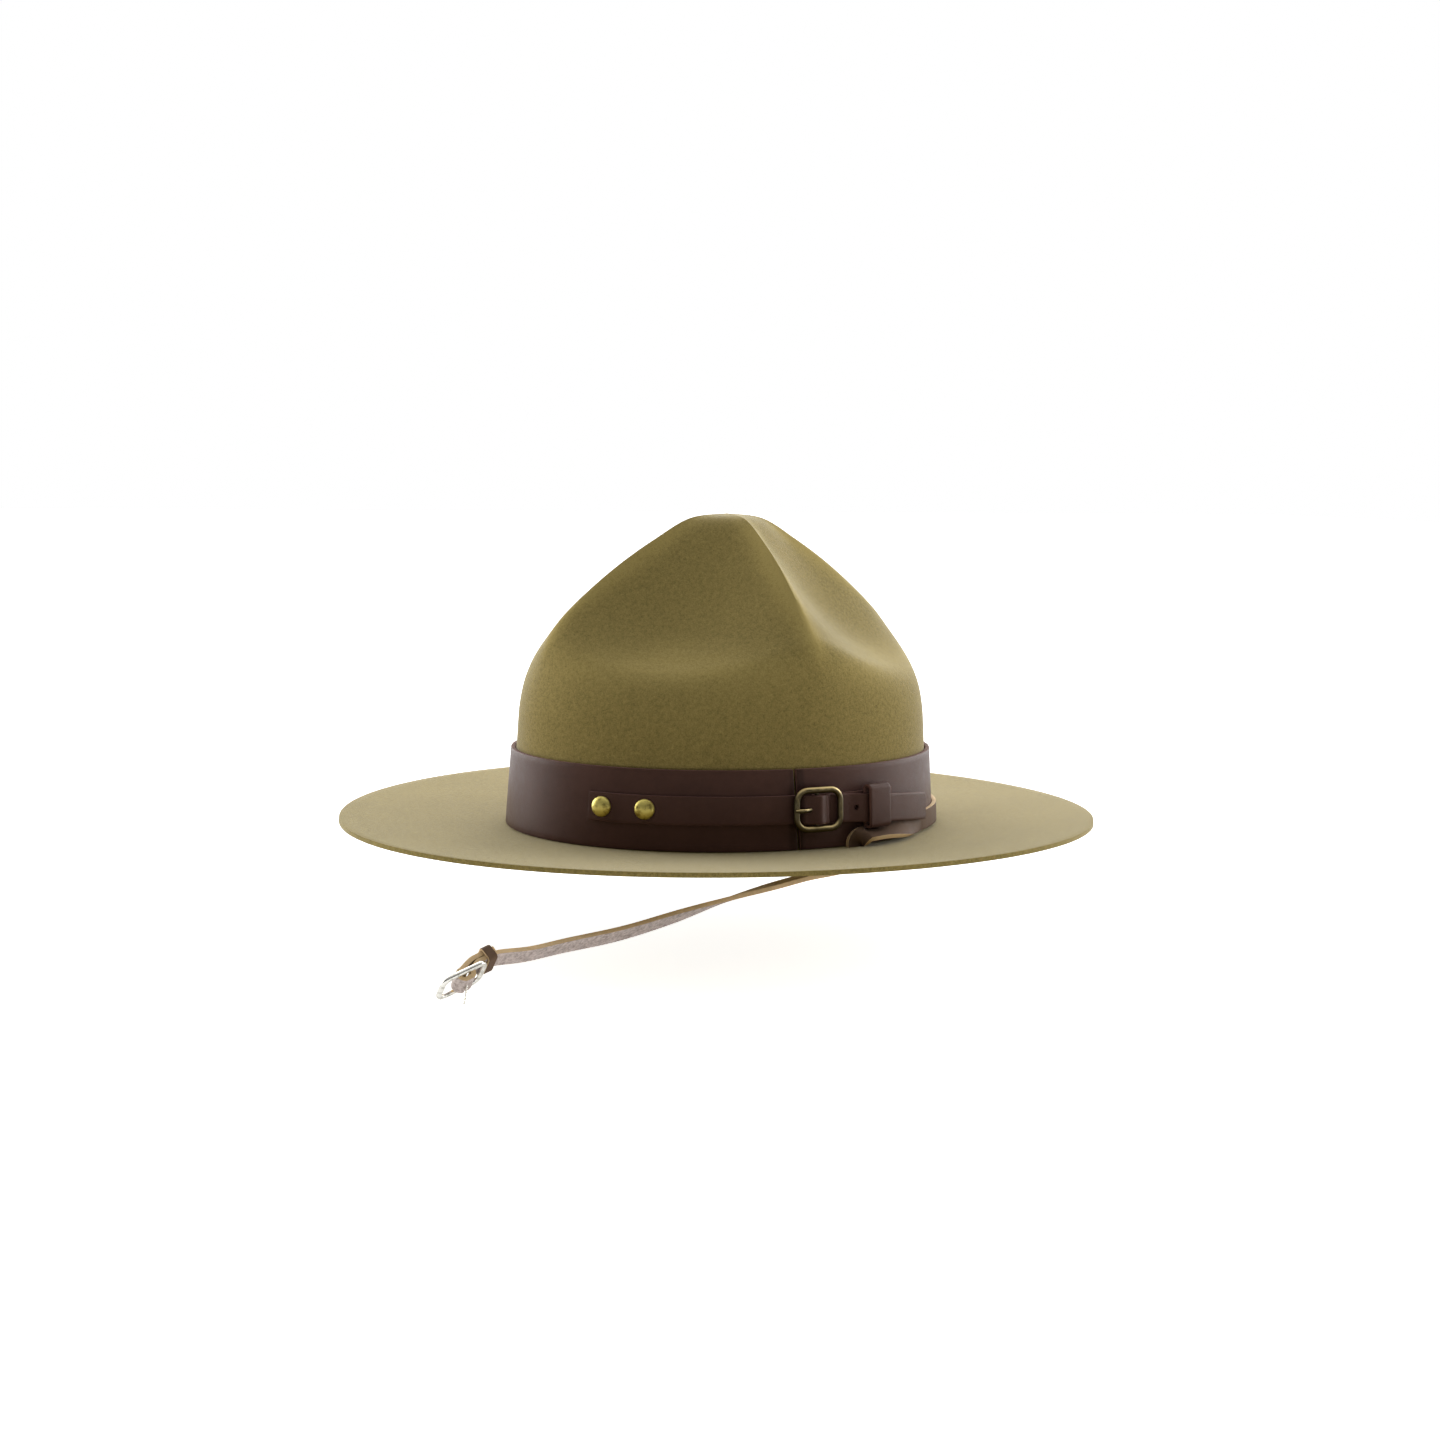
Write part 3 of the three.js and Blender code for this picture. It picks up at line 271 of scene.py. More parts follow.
# The holed end on the right side, in the same way.
HIDDEN_RUN = [
    (-0.0075, 0.0026, -0.0250, 0, -0.97, -0.25),
    (-0.0100, 0.0326, -0.0600, -0.15, -0.75, -0.65),
    (-0.0150, 0.0976, -0.0950, -0.3, -0.35, -0.9),
    (-0.0250, 0.2576, -0.1250, -0.3, -0.1, -0.95),
    (-0.0340, 0.4576, -0.1425, -0.3, -0.06, -0.95),
    (-0.0340, 0.6676, -0.1550, -0.3, -0.03, -0.95),
    (-0.0290, 0.8876, -0.1625, -0.3, 0, -0.95),
]
BUCKLE_AHEAD = unit(np.array([0.202, -0.948, -0.246]))
BUCKLE_SIDE = np.array([0.705, -0.12, 0.7])
BUCKLE_SIDE = unit(BUCKLE_SIDE - BUCKLE_SIDE @ BUCKLE_AHEAD * BUCKLE_AHEAD)
BUCKLE_FACE = np.cross(BUCKLE_SIDE, BUCKLE_AHEAD)
FOLD = CHIN_CENTRE / 2 + GAP + CHIN_THICK / 2
BEHIND_BAR = -(CHIN_BAR_DEPTH / 2 + GAP + CHIN_THICK / 2)
UNDER_STRAP = BEHIND_BAR - CHIN_THICK - GAP
BEHIND_BUCKLE, FOLD_TAIL = 1.2 * MM, 1.5 * MM
CHIN_KEEPER_FROM = -(CHIN_BUCKLE_LENGTH / 2 + BEHIND_BUCKLE + CHIN_KEEPER_LENGTH)
FOLD_END = CHIN_KEEPER_FROM - FOLD_TAIL


def chin_station(along, up, out, heading=math.pi / 2, lean=0.0):
    """Place and width direction of the chin strap against the band."""
    _, ahead, rise, outward = band_frame(along, up)
    width = -math.cos(heading) * ahead + math.sin(heading) * rise
    side = math.cos(lean) * width - math.sin(lean) * outward
    return on_band(along, up, out), side


SLIT_EXIT = chin_station(SLIT_ALONG, -1.5 * FELT, GAP + CHIN_THICK / 2, 0.0)
MIRROR = np.array([-1, 1, 1])
BUCKLE_MIDDLE = SLIT_EXIT[0] + CHIN_REACH * np.array(BUCKLE_AWAY)


def run_stations(slit, table):
    """Stations of a table that starts at a slit."""
    return [(slit + CHIN_REACH * np.array(row[:3]), unit(np.array(row[3:], float))) for row in table]


def chin_stations():
    """The chin strap's middle line from the folded buckle end to the holed tip."""
    rear = -(CHIN_BUCKLE_LENGTH - CHIN_BAR_WIDTH) / 2
    fold = [
        (FOLD_END, BEHIND_BAR), (rear - BEHIND_BUCKLE, BEHIND_BAR), (rear + 1.6 * MM, BEHIND_BAR),
        (rear + 5 * MM, BEHIND_BAR * 0.2), (-3.2 * MM, FOLD * 0.82),
    ]
    for i in range(13):
        angle = mix(math.pi / 2 + 0.15, -math.pi / 2 - 0.1, i / 12)
        fold.append((FOLD * math.cos(angle), FOLD * math.sin(angle)))
    fold += [
        (rear + 5 * MM, mix(-FOLD, UNDER_STRAP, 0.7)), (rear + 1.6 * MM, UNDER_STRAP),
        (FOLD_END, UNDER_STRAP),
    ]
    stations = [(at_buckle(a, n), BUCKLE_SIDE) for a, n in reversed(fold)]
    stations += reversed(run_stations(SLIT_EXIT[0], FREE_RUN))
    rest = GAP + CHIN_THICK / 2
    left = []
    for i in range(6):
        angle = math.pi / 2 * i / 5
        lean = CHIN_TURN_LEAN * math.sin(angle) ** 2
        left.append(chin_station(
            SLIT_ALONG + CHIN_TURN * (1 - math.cos(angle)),
            CHIN_TURN * math.sin(angle) + SLIT_RISE * math.cos(angle),
            rest + CHIN_WIDTH / 2 * math.sin(lean), angle, lean,
        ))
    for further, up, degrees in SETTLING:
        lean = math.radians(degrees)
        left.append(chin_station(
            SLIT_ALONG + CHIN_TURN + further * CHIN_WIDTH, up * CHIN_WIDTH,
            rest + CHIN_WIDTH / 2 * math.sin(lean), lean=lean,
        ))
    start = SLIT_ALONG + CHIN_TURN + SETTLING[-1][0] * CHIN_WIDTH
    back = [chin_station(mix(start, BAND_LENGTH / 2 - start, i / 40), CHIN_UP, rest) for i in range(1, 40)]
    stations += [SLIT_EXIT, *left, *back]
    stations += [(p * MIRROR, s * MIRROR) for p, s in reversed([SLIT_EXIT, *left])]
    stations += run_stations(SLIT_EXIT[0] * MIRROR, HIDDEN_RUN)
    return stations


def at_buckle(ahead, face, side=0.0):
    """A place by its lengths ahead, out of the front and across the chin buckle."""
    return BUCKLE_MIDDLE + ahead * BUCKLE_AHEAD + face * BUCKLE_FACE + side * BUCKLE_SIDE


# Modelling tools


def add(primitive, name, **sizes):
    """A new primitive as the only selected and the active object."""
    bpy.ops.object.select_all(action="DESELECT")
    primitive(**sizes)
    piece = bpy.context.object
    piece.name = piece.data.name = name
    return piece


def choose(piece):
    """Makes a piece the only selected and the active object."""
    bpy.ops.object.select_all(action="DESELECT")
    piece.select_set(True)
    bpy.context.view_layer.objects.active = piece


def finish_modifier(piece, kind, **settings):
    """Adds a modifier with its settings and applies it."""
    choose(piece)
    modifier = piece.modifiers.new(kind.title(), kind)
    for key, value in settings.items():
        setattr(modifier, key, value)
    bpy.ops.object.modifier_apply(modifier=modifier.name)


def edit(piece, *steps):
    """Runs edit mode steps on a whole piece."""
    choose(piece)
    bpy.ops.object.mode_set(mode="EDIT")
    bpy.ops.mesh.select_all(action="SELECT")
    for step, settings in steps:
        step(**settings)
    bpy.ops.object.mode_set(mode="OBJECT")


def read_places(piece):
    """The places of a piece's vertices, a row each."""
    places = np.empty(len(piece.data.vertices) * 3)
    piece.data.vertices.foreach_get("co", places)
    return places.reshape(-1, 3)


def set_places(piece, places):
    """Moves a piece's vertices to a row of places."""
    piece.data.vertices.foreach_set("co", np.ascontiguousarray(places, dtype=np.float32).ravel())
    piece.data.update()


WELD = (bpy.ops.mesh.remove_doubles, {"threshold": 0.001 * MM})
FACE_OUT = (bpy.ops.mesh.normals_make_consistent, {"inside": False})


def sheet(name, rows, columns, place):
    """A grid laid where place(u, v) says, with its seam and poles welded. u and v go from 0 to 1."""
    piece = add(bpy.ops.mesh.primitive_grid_add, name, x_subdivisions=columns, y_subdivisions=rows, size=1)
    flat = read_places(piece)
    set_places(piece, place(flat[:, 0] + 0.5, flat[:, 1] + 0.5))
    edit(piece, WELD)
    return piece


def face_out(piece):
    """Turns an open sheet so that its faces look up and away from the hat's middle."""
    edit(piece, FACE_OUT)
    outward = sum(face.normal.dot(face.center) * face.area for face in piece.data.polygons)
    if outward < 0:
        edit(piece, (bpy.ops.mesh.flip_normals, {}))


def thicken(piece, thickness, offset, round_edge):
    """Gives a sheet its thickness, with slots 1 and 2 on its back and its edges, and round edges."""
    while len(piece.data.materials) < 3:
        piece.data.materials.append(None)
    finish_modifier(
        piece, "SOLIDIFY", thickness=thickness, offset=offset, use_even_offset=True,
        material_offset=1, material_offset_rim=2,
    )
    if round_edge:
        finish_modifier(
            piece, "BEVEL", width=round_edge, segments=2, limit_method="ANGLE",
            angle_limit=math.radians(50), material=-1,
        )


def cut(piece, tool):
    """Takes a tool's solid out of a piece, and the tool out of the scene."""
    faces = len(piece.data.polygons)
    finish_modifier(piece, "BOOLEAN", object=tool, operation="DIFFERENCE", solver="EXACT")
    if len(piece.data.polygons) == faces:
        raise RuntimeError(f"{tool.name} doesn't reach {piece.name}")
    bpy.data.objects.remove(tool)


PUNCH_FACETS, PUNCH_DEPTH = 24, 12 * MM


def punch(piece, origin, ahead, rise, out):
    """Punches a round hole through a strap."""
    tool = add(
        bpy.ops.mesh.primitive_cylinder_add, "punch", vertices=PUNCH_FACETS,
        radius=HOLE_DIAMETER / 2, depth=PUNCH_DEPTH)
    flat = read_places(tool)
    set_places(tool, origin + flat[:, :1] * ahead + flat[:, 1:2] * rise + flat[:, 2:] * out)
    cut(piece, tool)


def smooth(piece, degrees):
    """Smooth shading, apart from edges sharper than an angle."""
    choose(piece)
    bpy.ops.object.shade_smooth_by_angle(angle=math.radians(degrees))


def strip_places(stations, count):
    """Places at equal steps along smooth stations, the directions ahead, across and out, and the length."""
    places = np.array([p for p, _ in stations])
    sides = np.array([s for _, s in stations])
    arc = np.r_[0, np.cumsum(np.linalg.norm(np.diff(places, axis=0), axis=1))]
    shares = np.linspace(0, arc[-1], count)
    index = np.interp(shares, arc, np.arange(len(arc))) / (len(arc) - 1)
    line, side = smooth_line(places, index), unit(smooth_line(sides, index))
    ahead = unit(np.gradient(line, axis=0))
    side = unit(side - (side * ahead).sum(-1, keepdims=True) * ahead)
    return line, ahead, side, np.cross(ahead, side), arc[-1]


def spun(name, profile, steps, place):
    """A profile of (radius, height) spun round the height axis, then placed."""
    rows = len(profile) - 1
    piece = add(bpy.ops.mesh.primitive_grid_add, name, x_subdivisions=steps, y_subdivisions=rows, size=1)
    flat = read_places(piece)
    radius, height = np.array(profile)[np.rint((flat[:, 1] + 0.5) * rows).astype(int)].T
    angle = (flat[:, 0] + 0.5) * 2 * math.pi
    set_places(piece, place(radius * np.cos(angle), radius * np.sin(angle), height))
    edit(piece, WELD, FACE_OUT)
    return piece


def loop_sheet(name, width, depth, corner, columns, place):
    """A sheet bent to a closed rectangle. place takes a share of its length and a point on it."""
    loop = np.array([point for point, _ in rounded_path(width, depth, corner, 8)])

    def on_loop(u, v):
        i = np.rint(v * len(loop)).astype(int) % len(loop)
        return place(u, *loop[i].T)

    piece = sheet(name, len(loop), columns, on_loop)
    edit(piece, FACE_OUT)
    return piece


def wire(name, path, closed, width, depth, facets=16, taper=None):
    """A rod swept along a path of (place, side) rows, oval in section."""
    places = np.array([p for p, _ in path])
    sides = np.array([s for _, s in path])
    count = len(places)
    if closed:
        ahead = unit(np.roll(places, -1, axis=0) - np.roll(places, 1, axis=0))
    else:
        ahead = unit(np.gradient(places, axis=0))
    side = unit(sides - (sides * ahead).sum(-1, keepdims=True) * ahead)
    face = np.cross(side, ahead)
    size = np.ones(count) if taper is None else np.asarray(taper)

    def place(u, v):
        i = np.rint(v * count if closed else v * (count - 1)).astype(int) % count
        angle = u * 2 * math.pi
        across = side[i] * (width / 2 * size[i] * np.cos(angle))[:, None]
        return places[i] + across + face[i] * (depth / 2 * size[i] * np.sin(angle))[:, None]

    piece = sheet(name, count if closed else count - 1, facets, place)
    if not closed:
        close_ends()
    edit(piece, FACE_OUT)
    return piece


def close_ends():
    """Closes the open ends of the active rod."""
    bpy.ops.object.mode_set(mode="EDIT")
    bpy.ops.mesh.select_mode(type="EDGE")
    bpy.ops.mesh.select_all(action="DESELECT")
    bpy.ops.mesh.select_non_manifold()
    bpy.ops.mesh.fill_holes(sides=0)
    bpy.ops.mesh.select_mode(type="VERT")
    bpy.ops.object.mode_set(mode="OBJECT")


def rounded_path(length, width, corner, steps):
    """Places and outward directions round a rectangle with round corners."""
    rows = []
    for cx, cy, start in ((1, -1, -90), (1, 1, 0), (-1, 1, 90), (-1, -1, 180)):
        for i in range(steps + 1):
            angle = math.radians(start + 90 * i / steps)
            x = cx * (length / 2 - corner) + corner * math.cos(angle)
            y = cy * (width / 2 - corner) + corner * math.sin(angle)
            rows.append(((x, y), (math.cos(angle), math.sin(angle))))
    return rows


def ring_path(length, width, bar, corner, to_place):
    """The path of a buckle's ring, placed by a function of flat x and y."""
    rows = rounded_path(length - bar, width - bar, corner - bar / 2, 8)
    dense = []
    for i, ((x, y), (nx, ny)) in enumerate(rows):
        (x2, y2), (nx2, ny2) = rows[(i + 1) % len(rows)]
        pieces = max(1, int(math.hypot(x2 - x, y2 - y) / MM))
        for k in range(pieces):
            t = k / pieces
            dense.append((mix(x, x2, t), mix(y, y2, t), mix(nx, nx2, t), mix(ny, ny2, t)))
    path = []
    for x, y, nx, ny in dense:
        here = to_place(x, y)
        path.append((here, unit(to_place(x + nx * MM, y + ny * MM) - here)))
    return path


def to_band_buckle(x, y):
    """A flat point in the band buckle's ring."""
    return on_band(BUCKLE_ALONG + x, STRAP_UP + y, BAR_OUT)


def to_chin_buckle(x, y):
    """A flat point in the chin buckle's ring."""
    return at_buckle(x, 0.0, -y)


# Shader maths


class Socket:
    """A socket of a material's nodes. Arithmetic on it adds Math nodes."""

    def __init__(self, tree, socket=None):
        self.tree = tree
        self.socket = socket

    def node(self, kind, settings=None, output=0, inputs=None):
        """A new node: its settings first, then the values or links of its sockets."""
        made = self.tree.nodes.new(kind)
        for key, value in (settings or {}).items():
            setattr(made, key, value)
        for key, value in (inputs or {}).items():
            if isinstance(value, Socket):
                self.tree.links.new(value.socket, made.inputs[key])
            else:
                made.inputs[key].default_value = value
        return Socket(self.tree, made.outputs[output])

    def math(self, operation, *values):
        return self.node("ShaderNodeMath", {"operation": operation}, inputs=dict(enumerate(values)))

    def __add__(self, other):
        return self.math("ADD", self, other)

    __radd__ = __add__

    def __mul__(self, other):
        return self.math("MULTIPLY", self, other)

    __rmul__ = __mul__

    def __sub__(self, other):
        return self.math("SUBTRACT", self, other)

    def __rsub__(self, other):
        return self.math("SUBTRACT", other, self)

    def step(self, low, high):
        """0 below low, 1 above high and smooth between them."""
        return self.node(
            "ShaderNodeMapRange", {"interpolation_type": "SMOOTHSTEP"},
            inputs={"Value": self, "From Min": low, "From Max": high, "To Min": 0.0, "To Max": 1.0},
        )

    def blend(self, low, high):
        """A colour between two, by this value."""
        return self.node("ShaderNodeMix", {"data_type": "RGBA"}, output=2, inputs={0: self, 6: low, 7: high})


def colour(rgb):
    """An sRGB colour of 0 to 255 as linear red, green, blue and alpha."""
    def linear(c):
        c = c / 255
        return c / 12.92 if c <= 0.04045 else ((c + 0.055) / 1.055) ** 2.4
    return (*[linear(c) for c in rgb], 1.0)


def material(name):
    """A new material, its shader node, and a socket to start its nodes from."""
    made = bpy.data.materials.new(name)
    made.use_nodes = True
    shader = made.node_tree.nodes["Principled BSDF"]
    return made, shader, Socket(made.node_tree)


def connect(shader, **links):
    """Sets or links a shader's sockets by their names."""
    tree = shader.id_data
    for key, value in links.items():
        socket = shader.inputs[key.replace("_", " ")]
        if isinstance(value, Socket):
            tree.links.new(value.socket, socket)
        else:
            socket.default_value = value


def object_place(start):
    """Places on the object, in metres."""
    return start.node("ShaderNodeTexCoord", output=3)


def noise(start, place, scale, detail=3.0, roughness=0.5):
    """Soft noise around 0.5, finer as its scale grows."""
    return start.node("ShaderNodeTexNoise", inputs={
        "Vector": place, "Scale": scale, "Detail": detail, "Roughness": roughness,
    })


def dot(start, place, direction):
    """How far a place or a direction reaches along another."""
    return start.node(
        "ShaderNodeVectorMath", {"operation": "DOT_PRODUCT"}, output=1, inputs={0: place, 1: direction})


def bump(start, height, strength, distance):
    """A normal roughened by a height."""
    return start.node("ShaderNodeBump", inputs={
        "Height": height, "Strength": strength, "Distance": distance,
    })


def shade(base, share, blue=None):
    """A colour made darker or paler. blue is the share of its blue where that differs."""
    return (base[0] * share, base[1] * share, base[2] * (blue or share), 1.0)


def felt_finish():
    """Felt: fibres and tufts in slight patches, painted paler on the crests and dent lips as a painted
    highlight, with a soft nap.
    """
    settings = bpy.context.scene.hat_finish
    made, shader, start = material("felt")
    place = object_place(start)
    fibres = noise(start, place, 1900.0, 2.0, 0.6)
    tufts = noise(start, place, 640.0, 3.0, 0.65)
    patches = noise(start, place, 24.0, 3.0, 0.5)
    # Painted highlight: the crest attribute paints the ridges and dent lips paler.
    crest_highlight = start.node("ShaderNodeAttribute", {"attribute_name": "crest"}, output=2)
    tone = (fibres - 0.5) * 1.3 + (tufts - 0.5) * 1.1 + (patches - 0.5) * 0.3 + 0.5 + crest_highlight * 0.6
    base = settings.felt_colour
    connect(
        shader, Base_Color=tone.blend(shade(base, 0.55, 0.5), shade(base, 1.42, 1.5)),
        Roughness=0.95, Specular_IOR_Level=0.15, Sheen_Weight=settings.felt_fuzz, Sheen_Roughness=0.3,
        Sheen_Tint=colour((250, 244, 224)),
        Normal=bump(start, tufts * 0.6 + fibres * 0.8, 0.6, 0.3 * MM),
    )
    return made


def leather_finish(name, base, gloss, mottle=0.35, grain=1.0, worn=None, seam_shadow_place=None):
    """Smooth leather: fine pores, slight mottling and a soft polish. Given a pale colour, the part that
    hangs below the brim is painted paler in specks, a painted light; given a place on the seam, the leather
    beside it is painted darker, a painted shadow in the seam's gap."""
    made, shader, start = material(name)
    place = object_place(start)
    pores = start.node(
        "ShaderNodeTexVoronoi", {"feature": "DISTANCE_TO_EDGE"}, inputs={"Vector": place, "Scale": 1500.0})
    creases = noise(start, place, 260.0, 4.0, 0.6)
    patches = noise(start, place, 45.0, 4.0, 0.6)
    tone = (creases - 0.5) * mottle + (patches - 0.5) * mottle * 1.6 + 0.5
    height = pores.step(0.0, 0.12) * 0.35 + creases * 0.5
    # Painted shadow: the leather within a few millimetres of the seam is painted darker, where the gap casts
    # shade.
    if seam_shadow_place is not None:
        flat = start.node(
            "ShaderNodeVectorMath", {"operation": "MULTIPLY"}, inputs={0: place, 1: (1.0, 1.0, 0.0)})
        near = start.node(
            "ShaderNodeVectorMath", {"operation": "DISTANCE"}, output=1, inputs={0: flat, 1: seam_shadow_place})
        tone = tone - (near + (patches - 0.5) * 4 * MM).step(4.5 * MM, 0.8 * MM) * 0.9
    shown = tone.blend(shade(base, 0.62), shade(base, 1.5))
    # Painted light: below the brim the strap is painted paler in specks, standing in for light from the
    # white surround.
    if worn is not None:
        up = dot(start, place, (0.0, 0.0, 1.0))
        specks = noise(start, place, 700.0, 3.0, 0.7)
        hanging_light_mask = (specks + creases * 0.5).step(0.5, 0.95) * 0.5 + 0.3
        shown = (hanging_light_mask * up.step(-4 * MM, -9 * MM)).blend(shown, worn)
    connect(
        shader, Base_Color=shown, Roughness=(creases - 0.5) * 0.25 + (1.0 - gloss),
        Specular_IOR_Level=0.17, Specular_Tint=colour((244, 220, 210)),
        Normal=bump(start, height, 0.35 * grain, 0.15 * MM),
    )
    return made


def raw_edge_finish(name, base, burnish):
    """Cut leather: fibrous and matt, darker where it was rubbed."""
    made, shader, start = material(name)
    place = object_place(start)
    fibres = noise(start, place, 900.0, 4.0, 0.65)
    patches = noise(start, place, 120.0, 3.0, 0.6)
    tone = (fibres - 0.5) * 0.7 + (patches - 0.5) * 0.8 + 0.5
    pale = tuple(min(1.0, c) for c in shade(base, 1.3))
    connect(
        shader, Base_Color=tone.blend(shade(base, burnish), pale), Roughness=0.8, Specular_IOR_Level=0.3,
        Normal=bump(start, fibres, 0.5, 0.15 * MM),
    )
    return made


def metal_finish(name, base, tarnish, roughness, highlight_direction=None):
    """Metal with fine scratches, paler in random stains. Given a direction, the side that faces it is
    painted bright instead, a painted highlight over the tarnish, broken by the stains.
    """
    made, shader, start = material(name)
    place = object_place(start)
    stain = noise(start, place, 420.0, 4.0, 0.55)
    fine = noise(start, place, 2600.0, 2.0, 0.5)
    if highlight_direction is None:
        bright = stain.step(0.3, 0.55)
    else:
        # Painted highlight: brighter where the surface faces the given direction.
        normal = start.node("ShaderNodeTexCoord", output=1)
        bright = (dot(start, normal, highlight_direction) + (stain - 0.5) * 0.4).step(0.45, 1.0)
    connect(
        shader, Base_Color=bright.blend(colour(tarnish), colour(base)), Metallic=1.0,
        Roughness=(stain - 0.5) * 0.3 + roughness,
        Normal=bump(start, stain * 0.6 + fine * 0.4, 0.12, 0.1 * MM),
    )
    return made


FINISHES = {}


def finishes():
    """The hat's finishes, made once."""
    if not FINISHES:
        settings = bpy.context.scene.hat_finish
        band, chin, tan = settings.band_colour, settings.chin_colour, settings.edge_colour
        # The seam's place, beside which the band gets a painted shadow.
        seam = tuple(on_band(SEAM_ALONG, 0.0, 0.0) * [1, 1, 0])
        FINISHES.update(
            felt=felt_finish(),
            band=leather_finish("band_leather", band, settings.band_gloss, seam_shadow_place=seam),
            band_edge=raw_edge_finish("band_edge", shade(band, 2.4), 0.5),
            band_back=raw_edge_finish("band_back", shade(band, 2.2), 0.7),
            chin=leather_finish("chin_leather", chin, 0.35, 0.6, 1.4),
            # The hanging part of the chin strap gets painted light below the brim.
            chin_worn=leather_finish("chin_leather_lit_hanging", chin, 0.35, 0.6, 1.4, colour((226, 212, 206))),
            tan=raw_edge_finish("tan_edge", tan, 0.7),
            flesh=raw_edge_finish("flesh_side", shade(tan, 0.8), 0.6),
            brass=metal_finish("brass", (220, 204, 116), (158, 140, 72), 0.4),
            # The dark brass has a painted highlight on its upper sides; its tarnish is its own patina.
            dark_brass=metal_finish("dark_brass", (206, 184, 130), (84, 76, 56), 0.33, (0.45, -0.15, 0.88)),
            nickel=metal_finish("nickel", (236, 234, 226), (168, 164, 150), 0.2),
        )
    return FINISHES


def complete(piece, body, node, names, degrees=40):
    """Gives a piece its materials and shading, and puts it on its body in place of a CAD node."""
    for i, name in enumerate(names):
        if i < len(piece.data.materials):
            piece.data.materials[i] = finishes()[name]
        else:
            piece.data.materials.append(finishes()[name])
    smooth(piece, degrees)
    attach(piece, body)
    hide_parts(node)


BAND_SIDES = ("band", "band_back", "band_edge")


# Settings


class HatFinish(bpy.types.PropertyGroup):
    """Colours and polish."""

    felt_colour: bpy.props.FloatVectorProperty(
        name="Felt colour", description="Colour of the felt", subtype="COLOR", size=3,
        min=0.0, max=1.0, default=colour((136, 120, 68))[:3])
    felt_fuzz: bpy.props.FloatProperty(
        name="Felt fuzz", description="How much the nap catches light", default=0.52, min=0.0, max=1.0)
    band_colour: bpy.props.FloatVectorProperty(
        name="Band colour", description="Colour of the band's leather", subtype="COLOR", size=3,
        min=0.0, max=1.0, default=colour((74, 51, 44))[:3])
    band_gloss: bpy.props.FloatProperty(
        name="Band gloss", description="Polish of the band's leather", default=0.58, min=0.0, max=1.0)
    chin_colour: bpy.props.FloatVectorProperty(
        name="Chin strap colour", description="Colour of the chin strap's grain side",
        subtype="COLOR", size=3, min=0.0, max=1.0, default=colour((92, 72, 56))[:3])
    edge_colour: bpy.props.FloatVectorProperty(
        name="Raw edge colour", description="Colour of cut leather", subtype="COLOR", size=3,
        min=0.0, max=1.0, default=colour((212, 182, 138))[:3])


class HatDetail(bpy.types.PropertyGroup):
    """Fineness of the meshes and roundness of the edges."""

    felt_columns: bpy.props.IntProperty(
        name="Felt columns", description="Columns of faces round the crown", default=256, min=64, max=400)
    crown_rows: bpy.props.IntProperty(
        name="Crown rows", description="Rows of faces from foot to peak", default=84, min=20, max=160)
    brim_rows: bpy.props.IntProperty(
        name="Brim rows", description="Rows of faces over the brim", default=20, min=6, max=60)
    felt_edge: bpy.props.FloatProperty(
        name="Felt edge", description="Rounding of the brim's edge", default=0.5 * MM, min=0.0,
        unit="LENGTH")
    leather_edge: bpy.props.FloatProperty(
        name="Leather edge", description="Rounding of cut leather edges", default=0.45 * MM, min=0.0,
        unit="LENGTH")


class StageSettings(bpy.types.PropertyGroup):
    """Camera and lights."""

    azimuth: bpy.props.FloatProperty(
        name="Azimuth", description="Camera direction from the front", default=math.radians(60),
        subtype="ANGLE")
    elevation: bpy.props.FloatProperty(
        name="Elevation", description="Camera height above level", default=math.radians(9.3),
        subtype="ANGLE")
    roll: bpy.props.FloatProperty(
        name="Roll", description="Camera roll", default=math.radians(1.07), subtype="ANGLE")
    distance: bpy.props.FloatProperty(
        name="Distance", description="Camera distance from the origin", default=1.03, unit="LENGTH")
    backdrop: bpy.props.FloatProperty(
        name="Backdrop", description="Light from the white backdrop behind the hat", default=3.2, min=0.0)
    overhead: bpy.props.FloatProperty(
        name="Overhead", description="Light from above", default=0.5, min=0.0)
    fill: bpy.props.FloatProperty(
        name="Fill", description="Light from all round", default=0.09, min=0.0)
    panels: bpy.props.FloatProperty(
        name="Panels", description="Power of the side panels", default=10.0, min=0.0)


# Pieces


